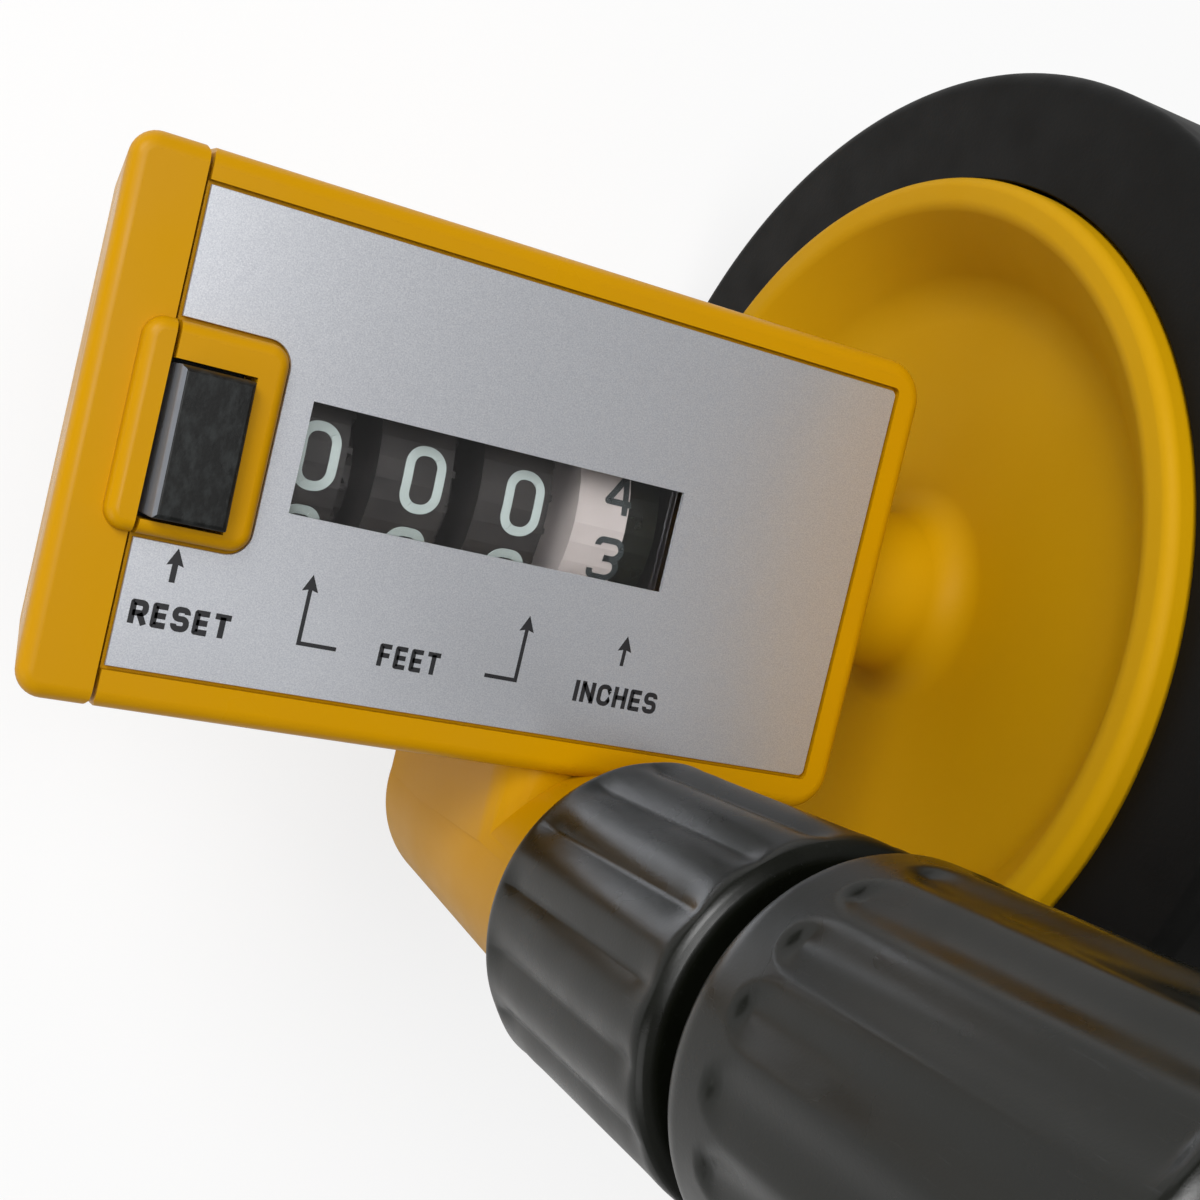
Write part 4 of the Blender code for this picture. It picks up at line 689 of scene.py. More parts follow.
# The button's side that faces left, coloured pale grey: painted light of the lamps that fall on that side
LIT_SIDE_CAP = Polymer("black_button_painted_lit_side", "777A80", 0.4, patch="686B70", patch_mm=1.5, grain_mm=0.3,
                   bump_mm=0.006, ior=1.4)
# Semi-gloss nylon: broad highlights with fine lengthwise rub marks
BLACK_NYLON = Polymer("moulded_black_nylon", "070804", 0.3, patch="0D0F08", patch_mm=6.0, grain_mm=0.25,
                      bump_mm=0.006, scuff="4A4B4E", scuff_mm=(0.3, 0.3, 3.0), scuff_start=0.62,
                      scuff_strength=0.22, ior=1.42)
# Solid vulcanised rubber: matt, dusty grey where it rolls
TYRE_RUBBER = Polymer("vulcanised_tyre_rubber", "0A0A09", 0.5, patch="0D0D0C", patch_mm=5.0, grain_mm=0.35,
                      bump_mm=0.012, scuff="2C2D2C", scuff_mm=(0.5, 0.5, 0.5), scuff_start=0.66,
                      scuff_strength=0.6, ior=1.22)
# Soft thermoplastic rubber of the grip
GRIP_RUBBER = Polymer("moulded_grip_rubber", "161616", 0.7, patch="1C1C1B", patch_mm=8.0, grain_mm=0.3,
                      bump_mm=0.02)
# Acetal resin: milky and slightly waxy
ACETAL = Polymer("machined_acetal", "D9D5C8", 0.4, patch="CFCABB", patch_mm=3.0, grain_mm=0.3, bump_mm=0.003)
# Moulded drums, one kind black and one white. The white drum's colour is its own pinkish tone darkened to a
# grey: painted shade of the dim counter behind the lens
DRUM_BLACK = Polymer("moulded_black_drum", "1E1D1E", 0.4, patch="262321", patch_mm=3.0, grain_mm=0.3,
                     bump_mm=0.004, scuff="353331", scuff_mm=(0.8, 3.0, 3.0), scuff_start=0.58,
                     scuff_strength=0.3, ior=1.38)
DRUM_WHITE = Polymer("white_drum_with_painted_shade", "9C9594", 0.45, patch="918A87", patch_mm=3.0, grain_mm=0.3,
                     bump_mm=0.004, ior=1.4)
# Hot-stamped and screen-printed marks
WHITE_STAMP = Polymer("white_stamping_foil", "929C9A", 0.45, patch="848E8C", patch_mm=1.0, grain_mm=0.2,
                      bump_mm=0.004)
BLACK_STAMP = Polymer("black_stamping_foil", "1C2224", 0.45, patch="2A3032", patch_mm=1.0, grain_mm=0.2,
                      bump_mm=0.004)
BLACK_INK = Polymer("screen_printed_ink", "17171A", 0.5, patch="1E1E22", patch_mm=2.0, grain_mm=0.15,
                    bump_mm=0.003)
# Zinc-plated steel: pale, drawn along its length
ZINC_STEEL = Metal("zinc_plated_steel", "C9CBCD", 0.28)
# Blackened steel of the counter's frame
BLACK_STEEL = Metal("blackened_steel", "2A2620", 0.45, tarnish="1C1A16")
# Sintered bronze: warm, dull and slightly porous
BRONZE = Metal("sintered_bronze", "B98A4A", 0.42, tarnish="7A5730", mark_mm=(0.15, 0.15, 0.15))
# Black powder-coated steel tube
COATED_TUBE = Polymer("powder_coated_tube", "121313", 0.34, patch="202122", patch_mm=12.0, grain_mm=0.35,
                      bump_mm=0.006, scuff="55585A", scuff_mm=(0.4, 0.4, 20.0), scuff_start=0.66,
                      scuff_strength=0.35)
SILVER_FOIL = Foil("silver_polyester_foil", "CDD0D8", 0.34)
CLEAR_ACRYLIC = Clear("clear_acrylic", "FFFFFF", 0.03)


@dataclass
class Case:
    """The yellow case: its right-hand shell with the handle's socket, and its left-hand end.

    Window, button and surround are left, bottom, right and top. The shelf is its two depths and its
    two ends on V. The rocker's boss is V, depth and radius, the pin depth, radius and start on V, a
    screw U, V and the depth of its tip, and the screw's block bottom, right and top. The room over
    the shelf is its start past the flat face, its margin on V and its reach past the parting line.
    """

    left: float = -35.5
    right: float = 32.7
    top: float = 19.1
    bottom: float = -19.6
    depth: float = 26.5
    wall: float = 1.9
    front_wall: float = 2.0
    left_corner: float = 2.0
    right_corner: float = 3.4
    front_edge: float = 1.3
    back_edge: float = 1.8
    left_taper: float = 0.2
    parting: float = -30.0
    notch: float = 0.75
    gap: float = 0.3
    window: Quad = (-19.44, -3.90, 11.86, 4.15)
    window_margin: float = 1.3
    lens_margin: float = 1.9
    lens_thickness: float = 0.55
    label_half: Pair = (29.7, 16.55)
    label_corner: float = 0.5
    recess_floor: float = -0.65
    button: Quad = (-29.6, -5.95, -24.4, 4.45)
    surround: Quad = (-32.2, -7.3, -21.9, 7.3)
    surround_proud: float = 1.2
    surround_corner: float = 1.5
    surround_edge: float = 0.9
    rail_joint: float = 0.1
    plug_wall: float = 1.4
    plug_depth: float = 1.5
    pocket_foot: float = 0.4
    shelf: Quad = (-11.2, -10.0, -5.75, 4.25)
    shelf_right: float = -24.7
    rocker: Triple = (14.8, -19.5, 2.1)
    bush_r: float = 4.5
    socket_span: Pair = (-26.2, 4.7)
    socket_r: Pair = (9.25, 10.1)
    socket_edge: float = 1.6
    socket_lean: float = 2.65
    socket_bore: float = 6.65
    socket_floor: float = 8.0
    web_top: float = -1.4
    web_edge: float = 3.5
    pin: Triple = (-13.0, 1.8, -44.0)
    screws: tuple[Triple, ...] = (
        (-27.0, -11.5, -21.3), (-19.46, 0.0, -22.7), (16.3, 0.0, -22.7))
    screw_block: Triple = (-14.0, -24.5, -9.0)
    block_height: float = 5.0
    bore_r: float = 1.2
    stem_bore: Triple = (1.5, -16.0, -6.0)
    room: Triple = (0.1, 1.1, 6.0)

    def body(self) -> Shell:
        """The case's outer form. Its left side leans in towards the back by the taper times the depth."""
        corners = (self.left_corner, self.right_corner, self.right_corner, self.left_corner)
        shell = soft_box((self.left, self.bottom, -self.depth), (self.right, self.top, 0.0), corners,
                         self.front_edge, self.back_edge)
        on_left = shell.points[:, 0] < 0
        shell.points[on_left, 0] -= self.left_taper * shell.points[on_left, 2]
        return shell

    def notches(self) -> list[Shell]:
        """Cutters of the grooves at both ends of the parting line: triangles with their apex inwards."""
        cutters = []
        for edge, way in ((self.top, 1), (self.bottom, -1)):
            outside = edge + way * self.notch
            outline = np.array([(self.parting - self.notch, outside), (self.parting, edge - way * self.notch),
                                (self.parting + self.notch, outside)])
            cutters.append(plate(outline[::way], -self.depth - BEYOND, BEYOND))
        return cutters

    def socket_radius(self, depth: Array) -> Array:
        """The socket's outer radius, which grows evenly with depth."""
        return np.interp(depth, self.socket_span, self.socket_r)

    def socket(self) -> Shell:
        """The tapered tube socket. From rim to closed end its middle moves towards the case by the lean."""
        low, high = self.socket_span
        corners = [(0.6, low), (self.socket_r[0], low), (self.socket_r[1], high), (0.6, high)]
        shell = turn(fillet(corners, (0, self.socket_edge, 0.5, 0), False, 14), Along.N, (*HANDLE_AXIS, 0.0))
        shell.points[:, 1] += self.socket_lean * (high - shell.points[:, 2]) / (high - low)
        return shell

    def web(self) -> Shell:
        """The web that fills the corner between socket and case, flush with the socket's sides.

        Its section at a depth is a rectangle as wide as the socket there, drawn in near both ends by
        r * (1 - sqrt(1 - t^2)), where t runs from 0 at a distance r from the end to 1 at the end.

        Returns:
            The closed web.
        """
        low, high = self.socket_span[0] + 0.05, self.web_top
        foot, head = self.socket_edge, self.web_edge
        near_foot = low + foot * (1 - np.cos(np.linspace(0, np.pi / 2, 12)))
        near_head = high - head * (1 - np.cos(np.linspace(np.pi / 2, 0, 8)))
        middle, base = HANDLE_AXIS[0], HANDLE_AXIS[1] + self.socket_lean
        rings = []
        for depth in np.concatenate([near_foot, near_head]):
            back = LEAST_RADIUS
            for end, r in ((low, foot), (high, head)):
                t = np.clip(1 - abs(depth - end) / r, 0, 1)
                back += r * (1 - np.sqrt(1 - t * t))
            half = float(self.socket_radius(np.array(depth))) - back
            outline = rectangle(middle - half, base, middle + half, self.bottom + self.wall / 2)
            rings.append(np.column_stack([outline, np.full(4, depth)]))
        return loft(np.stack(rings), Ends.FLAT)

    def recess(self) -> Shell:
        """The cutter of the label's recess, which goes round the button's surround."""
        left, half_u, half_v = self.parting - BEYOND, *(half + self.gap for half in self.label_half)
        _, low, edge, high = self.surround
        corners = [(left, -half_v), (half_u, -half_v), (half_u, half_v), (left, half_v),
                   (left, high), (edge, high), (edge, low), (left, low)]
        corner, notch = self.label_corner, self.surround_corner
        radii = (0, corner, corner, 0, 0, notch, notch, 0)
        return plate(fillet(corners, radii, True, 12), self.recess_floor, BEYOND)

    def rail(self, left: float, right: float, corners: Sequence[float]) -> Shell:
        """A stretch of the raised surround of the button, between two places on U."""
        _, low, _, high = self.surround
        return soft_box((left, low, -SUNK), (right, high, self.surround_proud), corners, self.surround_edge)

    def shell(self) -> Piece:
        """The right-hand shell with its openings, its surround and the socket."""
        obj = make_object("case_moulding", self.body())
        carve(obj, "UNION", self.socket(), self.web())
        wall, gap, back = self.wall, self.gap, -self.depth - BEYOND
        left, right, under, over = (self.left - BEYOND, self.right + BEYOND, self.bottom - BEYOND,
                                    self.top + BEYOND)
        cavity = plate(rectangle(left, self.bottom + wall, self.right - wall, self.top - wall),
                       wall - self.depth, -self.front_wall)
        carve(obj, "DIFFERENCE", cavity, self.recess())
        rounded = (self.rail_joint, self.surround_corner, self.surround_corner, self.rail_joint)
        carve(obj, "UNION", self.rail(self.parting - wall, self.surround[2], rounded))
        _, low, edge, high = self.button
        through = (-self.front_wall - BEYOND, BEYOND)
        closed, rim = self.socket_span
        pin_n, pin_r, pin_start = self.pin
        cutters = [
            plate(rectangle(left, under, self.parting + gap / 2, over), back, BEYOND),
            plate(grown(self.window, self.lens_margin + gap), self.recess_floor - self.lens_thickness - gap,
                  BEYOND),
            plate(grown(self.window, self.window_margin), *through),
            plate(rectangle(self.parting - BEYOND, low - gap, edge + gap, high + gap), *through),
            rod(self.bush_r, self.right - wall - BEYOND, right, Along.U, (0.0, 0.0, AXLE_DEPTH)),
            rod(self.socket_bore, closed + self.socket_floor, rim + BEYOND, Along.N, (*HANDLE_AXIS, 0.0), 96),
            rod(pin_r, pin_start, self.bottom - wall / 2 + gap, Along.V, (HANDLE_AXIS[0], 0.0, pin_n)),
        ]
        cutters += [rod(self.bore_r, back, tip, Along.N, (u, v, 0.0), 24) for u, v, tip in self.screws]
        carve(obj, "DIFFERENCE", *cutters, *self.notches())
        smooth(obj, flats=True)
        return publish(obj, YELLOW_ABS, Body.HOUSING, Slot.YELLOW, "housing_shell")

    def pocket(self, split: float, low: float, high: float, top: float) -> Shell:
        """The cutter of the end's hollow, a wedge that keeps a wall's thickness from the leaning side.

        Args:
            split: U of the end's flat face.
            low: Its lowest V.
            high: Its highest V.
            top: Its depth next to the front wall.

        Returns:
            The closed wedge.
        """
        inner = self.left + self.wall
        lowest = (inner - split - self.pocket_foot) / self.left_taper
        corners = [(top, split + BEYOND), (top, inner - self.left_taper * top),
                   (lowest, split + self.pocket_foot), (lowest, split + BEYOND)]
        return plate(np.array(corners), low, high, along=Along.V)

    def end(self) -> Piece:
        """The left-hand end, with the left rail of the surround and a plug that locates it in the shell."""
        obj = make_object("left_end_moulding", self.body())
        wall, gap, back, split = self.wall, self.gap, -self.depth - BEYOND, self.parting - self.gap / 2
        rounded = (self.surround_corner, self.rail_joint, self.rail_joint, self.surround_corner)
        carve(obj, "UNION", self.rail(self.surround[0], self.parting + wall, rounded))
        rest = rectangle(split, self.bottom - BEYOND, self.right + BEYOND, self.top + BEYOND)
        carve(obj, "DIFFERENCE", plate(rest, back, BEYOND))
        clear, plug_end = wall + gap, self.parting + self.plug_depth
        inward = clear + self.plug_wall
        plug_low, plug_high = clear - self.depth, -self.front_wall - gap
        plug = rectangle(split - SUNK, self.bottom + clear, plug_end, self.top - clear)
        carve(obj, "UNION", plate(plug, plug_low, plug_high))
        hollow = rectangle(split, self.bottom + inward, self.parting + BEYOND, self.top - inward)
        carve(obj, "DIFFERENCE", plate(hollow, plug_low + self.plug_wall, plug_high - self.plug_wall),
              self.pocket(split, self.bottom + inward + gap, self.top - inward - gap,
                          plug_high - self.plug_wall - gap), *self.notches())
        shelf_low, shelf_high, shelf_bottom, shelf_top = self.shelf
        shelf_left = self.left + wall - self.left_taper * shelf_high - SUNK
        shelf = rectangle(shelf_left, shelf_bottom, self.shelf_right, shelf_top)
        boss_v, boss_n, boss_r = self.rocker
        carve(obj, "UNION", plate(shelf, shelf_low, shelf_high),
              rod(boss_r, split - SUNK, plug_end, Along.U, (0.0, boss_v, boss_n), 48),
              plate(rectangle(split - SUNK, *self.screw_block), plug_low, plug_low + self.block_height))
        _, low, _, high = self.button
        start, side, reach = self.room
        room = rectangle(split + start, low - side, self.parting + reach, high + side)
        u, v, tip = self.screws[0]
        carve(obj, "DIFFERENCE", plate(room, shelf_high, BEYOND),
              rod(*self.stem_bore, Along.N, STEM_PLACE, 48),
              rod(self.bore_r, split + gap, self.parting + BEYOND, Along.U, (0.0, boss_v, boss_n), 32),
              rod(self.bore_r, back, tip, Along.N, (u, v, 0.0), 24))
        smooth(obj, flats=True)
        return publish(obj, YELLOW_ABS, Body.HOUSING, Slot.YELLOW, "end_cap")

    def build(self) -> None:
        """Make both mouldings."""
        self.shell()
        self.end()


# The figures whose strokes return to their start
CLOSED_FIGURES = "08"
# Each figure's strokes, split by a slash: corners of across, up and rounding, as shares of its size
STROKES = {
    "0": "-.5 -.5 .46, .5 -.5 .46, .5 .5 .46, -.5 .5 .46",
    "1": "-.3 .3 0, .05 .5 .05, .05 -.5 0",
    "2": "-.5 .28 0, -.5 .5 .4, .5 .5 .4, .5 .05 .3, -.5 -.5 .05, .5 -.5 0",
    "3": "-.5 .34 0, -.5 .5 .2, .5 .5 .35, .5 .03 .33, -.12 .03 0 / -.12 .03 0, .5 .03 .37, .5 -.5 .37, "
         "-.5 -.5 .25, -.5 -.3 0",
    "4": ".25 -.5 0, .25 .5 .03, -.5 -.2 .03, .5 -.2 0",
    "5": ".45 .5 0, -.4 .5 .04, -.45 .1 .04, .5 .12 .4, .5 -.5 .4, -.5 -.5 .3, -.5 -.3 0",
    "6": ".42 .5 0, -.5 .5 .45, -.5 -.5 .4, .5 -.5 .4, .5 .1 .35, -.5 .1 0",
    "7": "-.5 .5 0, .5 .5 .04, -.15 -.5 0",
    "8": "-.45 .03 .25, .45 .03 .25, .45 .5 .25, -.45 .5 .25 / -.5 -.5 .3, .5 -.5 .3, .5 .03 .3, -.5 .03 "
         ".3",
    "9": "-.42 -.5 0, .5 -.5 .45, .5 .5 .4, -.5 .5 .4, -.5 -.1 .35, .5 -.1 0",
    "C": ".52 .26 0, .52 .5 .4, -.5 .5 .46, -.5 -.5 .46, .52 -.5 .4, .52 -.26 0",
    "E": ".66 .5 0, -.5 .5 .02, -.5 -.5 .02, .66 -.5 0 / -.5 0 0, .58 0 0",
    "F": ".66 .5 0, -.5 .5 .02, -.5 -.62 0 / -.5 0 0, .55 0 0",
    "H": "-.5 -.62 0, -.5 .62 0 / .5 -.62 0, .5 .62 0 / -.5 0 0, .5 0 0",
    "I": "0 -.62 0, 0 .62 0",
    "N": "-.5 -.62 0, -.5 .62 0 / .5 -.62 0, .5 .62 0 / -.5 .5 0, .5 -.5 0",
    "R": "-.5 -.62 0, -.5 .5 .02, .5 .5 .32, .5 -.04 .32, -.5 -.04 0 / .08 -.04 0, .56 -.62 0",
    "S": ".48 .28 0, .48 .5 .32, -.5 .5 .34, -.5 .02 .34, .5 .02 .36, .5 -.5 .36, -.52 -.5 .34, -.52 -.26 "
         "0",
    "T": "-.66 .5 0, .66 .5 0 / 0 .5 0, 0 -.62 0",
}


def drawn(figure: str, size: Pair, stroke: float, low: float, high: float) -> Shell:
    """One figure or letter drawn as strips along rounded paths.

    Args:
        figure: The figure or letter.
        size: Its outer width and height.
        stroke: The strips' width.
        low: Height of their undersides.
        high: Height of their tops.

    Returns:
        The figure about the origin, as (across, up, height).
    """
    scale = np.array(size) - stroke
    shells = []
    closed = figure in CLOSED_FIGURES
    for corners in STROKES[figure].split("/"):
        table = np.array([corner.split() for corner in corners.split(",")], float)
        path = fillet(table[:, :2] * scale, table[:, 2] * scale[0], closed, 10)
        whole = finer(np.concatenate([path, path[:1]]) if closed else path, 0.25)
        shells.append(ribbon(whole[:-1] if closed else whole, stroke, low, high, closed))
    return shells[0].joined(*shells[1:])


@dataclass
class Label:
    """The silver label and what is printed on it."""

    case: Case
    face: float = -0.05
    thickness: float = 0.3
    edge: float = 0.03
    ink: float = 0.03
    ink_sunk: float = 0.02
    words: tuple[tuple[str, str, float, float, float, float, float], ...] = (
        ("reset_word", "RESET", -25.3, -12.6, 7.2, 1.75, 0.42),
        ("feet_word", "FEET", -7.9, -12.6, 5.0, 1.7, 0.36),
        ("inches_word", "INCHES", 10.1, -12.7, 7.6, 1.7, 0.36),
    )
    letter_gap: float = 0.26
    narrow: dict[str, float] = field(default_factory=lambda: {"E": 0.9, "F": 0.9, "I": 0.28, "T": 1.0})
    head: Pair = (0.62, 1.25)
    head_shares: Pair = (0.86, 0.8)
    shaft_below: float = 0.002
    arrows: tuple[tuple[str, float, float, float, float, float], ...] = (
        ("reset_arrow", -26.5, -7.8, -10.2, 0.0, 0.42),
        ("feet_arrow_left", -16.6, -7.8, -12.8, 2.9, 0.3),
        ("feet_arrow_right", 1.05, -7.7, -12.75, -2.65, 0.3),
        ("inches_arrow", 9.9, -7.8, -10.2, 0.0, 0.3),
    )

    def foil(self) -> Piece:
        """The label with its window and its notch round the button's surround."""
        gap = self.case.gap
        half_u, half_v = self.case.label_half
        left = self.case.parting + gap
        _, low, edge, high = self.case.surround
        corners = [(left, -half_v), (half_u, -half_v), (half_u, half_v), (left, half_v), (left, high + gap),
                   (edge + gap, high + gap), (edge + gap, low - gap), (left, low - gap)]
        notch = self.case.surround_corner + gap
        corner = self.case.label_corner
        outline = fillet(corners, (0, corner, corner, 0, 0, notch, notch, 0), True, 12)
        obj = make_object("label_foil", plate(outline, self.face - self.thickness, self.face, self.edge))
        carve(obj, "DIFFERENCE", plate(rectangle(*self.case.window), -BEYOND, BEYOND))
        smooth(obj, flats=True)
        return publish(obj, SILVER_FOIL, Body.HOUSING, Slot.LABEL, "face_label")

    def word(self, name: str, text: str, place: Pair, size: Pair,
             stroke: float) -> Piece:
        """A printed word. Its letters share out the width that the gaps between them leave.

        Args:
            name: The piece's name.
            text: The word.
            place: Its middle, on U and V.
            size: Its width and height.
            stroke: The width of its lines.

        Returns:
            The piece.
        """
        shares = np.array([self.narrow.get(letter, 1.0) for letter in text])
        widths = shares * (size[0] - self.letter_gap * (len(text) - 1)) / shares.sum()
        lefts = np.cumsum(widths + self.letter_gap) - widths - self.letter_gap - size[0] / 2
        shells = []
        for letter, width, left in zip(text, widths, lefts):
            shell = drawn(letter, (float(width), size[1]), stroke, self.face - self.ink_sunk,
                          self.face + self.ink)
            shell.points[:, :2] += (left + width / 2 + place[0], place[1])
            shells.append(shell)
        obj = make_object(name, shells[0].joined(*shells[1:]))
        return publish(obj, BLACK_INK, Body.HOUSING, Slot.LABEL)

    def arrow(self, name: str, u: float, tip: float, tail: float, foot: float,
              stroke: float) -> Piece:
        """A printed arrow that points up, with a foot to one side where it has one.

        Args:
            name: The piece's name.
            u: Where its shaft stands.
            tip: V of its tip.
            tail: V of its shaft's lower end.
            foot: How far its foot reaches to the right, or to the left where this is negative.
            stroke: Width of its lines.

        Returns:
            The piece.
        """
        low, high = self.face - self.ink_sunk, self.face + self.ink
        half, length = self.head
        notch, start = (tip - length * share for share in self.head_shares)
        barb = np.array([(u - half, tip - length), (u, notch), (u + half, tip - length), (u, tip)])
        path = np.array([(u, start), (u, tail)] + ([(u + foot, tail)] if foot else []))
        shell = plate(barb, low, high).joined(ribbon(path, stroke, low, high - self.shaft_below, False))
        obj = make_object(name, shell)
        return publish(obj, BLACK_INK, Body.HOUSING, Slot.LABEL)

    def build(self) -> None:
        """Make the foil, the words and the arrows."""
        self.foil()
        for name, text, u, v, width, height, stroke in self.words:
            self.word(name, text, (u, v), (width, height), stroke)
        for arrow in self.arrows:
            self.arrow(*arrow)


@dataclass
class Counter:
    """The stamped digits of the drums, seen through the lens."""

    radius: float = 10.0
    feet: tuple[tuple[str, Body, float], ...] = (
        ("ones_digits", Body.ONES, -0.6), ("tens_digits", Body.TENS, -9.05),
        ("hundreds_digits", Body.HUNDREDS, -17.5))
    feet_size: Pair = (3.3, 5.1)
    feet_stroke: float = 0.72
    feet_turn: float = 2.6
    inch_place: float = 7.75
    inch_size: Pair = (2.7, 3.6)
    inch_stroke: float = 0.5
    inch_turn: float = -103.7
    proud: float = 0.05
    below: float = 0.04
    pair_pitch: float = 0.62
    pair_width: float = 0.54

    def wrapped(self, shell: Shell, place: float, degrees: float) -> Shell:
        """Bend a flat figure round the drum: an arc length t becomes an angle of t over the radius.

        Args:
            shell: The flat figure.
            place: Its middle on U.
            degrees: Its middle's angle above the front of the drum.

        Returns:
            The bent figure.
        """
        across, up, height = shell.points.T
        angle = np.radians(degrees) + up / self.radius
        r = self.radius + height
        points = np.column_stack([place + across, r * np.sin(angle), AXLE_DEPTH + r * np.cos(angle)])
        return Shell(points, shell.blocks).outward()

    def band(self, name: str, body: Body, slot: Slot, finish: Finish, count: int, place: float,
             first: float, size: Pair, stroke: float) -> Piece:
        """All the figures of one drum, each step up the drum one more than the last.

        Args:
            name: The piece's name.
            body: The drum's body.
            slot: Its material slot.
            finish: The stamping foil.
            count: How many numbers it has, from 0 up.
            place: Their middle on U.
            first: The first number's angle in degrees.
            size: A figure's width and height.
            stroke: The width of its lines.

        Returns:
            The piece.
        """
        shells = []
        for number in range(count):
            figures = str(number)
            narrow = size if len(figures) == 1 else (self.pair_width * size[0], size[1])
            for order, figure in enumerate(figures):
                middle = place + self.pair_pitch * size[0] * (order - (len(figures) - 1) / 2)
                angle = first + 360 * number / count
                flat = drawn(figure, narrow, stroke, -self.below, self.proud)
                shells.append(self.wrapped(flat, middle, angle))
        obj = make_object(name, shells[0].joined(*shells[1:]))
        smooth(obj, 40)
        return publish(obj, finish, body, slot)

    def build(self) -> None:
        """Stamp the three feet drums and the inch drum."""
        for name, body, place in self.feet:
            self.band(name, body, Slot.DRUM_BLACK, WHITE_STAMP, 10, place, self.feet_turn, self.feet_size,
                      self.feet_stroke)
        self.band("inch_digits", Body.INCHES, Slot.DRUM_WHITE, BLACK_STAMP, 12, self.inch_place,
                  self.inch_turn, self.inch_size, self.inch_stroke)


@dataclass
class ResetButton:
    """The black push button."""

    low: Triple = (-29.6, -5.95, -3.3)
    high: Triple = (-24.4, 4.45, 3.0)
    edge: float = 0.4
    flange: Quad = (-29.6, -6.75, -24.0, 5.25)
    flange_span: Pair = (-3.3, -2.3)
    stem: Triple = (1.2, -18.0, -2.3)
    upright: float = 0.15
    far_round: float = 1.4
    far_depth: float = 1.5
    far_fade: float = 1.1
    far_share: float = 0.7
    # Faces whose normal along U is below this take the pale grey of painted light on the left side
    worn_normal: float = -0.5

    def build(self) -> None:
        """Make the cap with its flange and stem as one piece."""
        cap = soft_box(self.low, self.high, (self.upright,) * 4, self.edge, steps=6)
        # The far edge is rounded most: points near it drop along a circle
        r = self.far_round
        beyond = np.clip(cap.points[:, 1] - (self.high[1] - r), 0, r)
        fall = r - np.sqrt(np.maximum(r * r - beyond * beyond, 0))
        near_top = np.clip((cap.points[:, 2] - self.high[2] + self.far_depth) / self.far_fade, 0, 1)
        cap.points[:, 2] -= self.far_share * fall * near_top
        shell = cap.joined(plate(rectangle(*self.flange), *self.flange_span),
                           rod(*self.stem, Along.N, STEM_PLACE, 32))
        obj = make_object("button_cap", shell)
        smooth(obj, 35, flats=True)
        publish(obj, BLACK_CAP, Body.BUTTON, Slot.BUTTON, "reset_button")
        # The faces that look left get a pale grey copy of the black cap: a painted highlight on its lit side
        obj.data.materials.append(LIT_SIDE_CAP.material())
        for face in obj.data.polygons:
            if face.normal.x < self.worn_normal:
                face.material_index = 1


@dataclass
class Wheel:
    """The dished yellow disc and its solid rubber tyre."""

    bore: float = 3.2
    disc: tuple[Triple, ...] = (
        (3.2, 34.4, 0.0), (6.8, 34.4, 0.9), (7.6, 45.67, 3.2), (28.8, 45.67, 5.5), (35.4, 38.67, 1.6),
        (38.18, 38.67, 1.1), (38.18, 55.77, 1.1), (35.4, 55.77, 1.6), (28.8, 48.67, 2.2), (9.6, 48.67, 2.2),
        (8.2, 52.27, 0.8), (3.2, 52.27, 0.0))
    tyre: tuple[Triple, ...] = (
        (38.4806, 40.87, 0.15), (48.5106, 40.87, 1.5), (48.5106, 53.57, 1.5), (38.4806, 53.57, 0.15))

    def ring(self, name: str, corners: tuple[Triple, ...], finish: Finish, slot: Slot,
             node: str) -> Piece:
        """A turned ring from corners of (radius, U, rounding).

        Args:
            name: The piece's name.
            corners: The ring's section.
            finish: Its surface.
            slot: Its material slot.
            node: The CAD node that it stands for.

        Returns:
            The piece.
        """
        table = np.array(corners)
        section = fillet(table[:, :2], table[:, 2], True, 10)
        obj = make_object(name, turn(section, Along.U, (0.0, 0.0, AXLE_DEPTH), Ends.LOOP, 240))
        smooth(obj, 40, flats=True)
        return publish(obj, finish, Body.WHEEL, slot, node)

    def build(self) -> None:
        """Make the disc and the tyre."""
        self.ring("disc_moulding", self.disc, MATT_YELLOW_ABS, Slot.YELLOW, "wheel_disc")
        self.ring("tyre_moulding", self.tyre, TYRE_RUBBER, Slot.TYRE, "tyre")


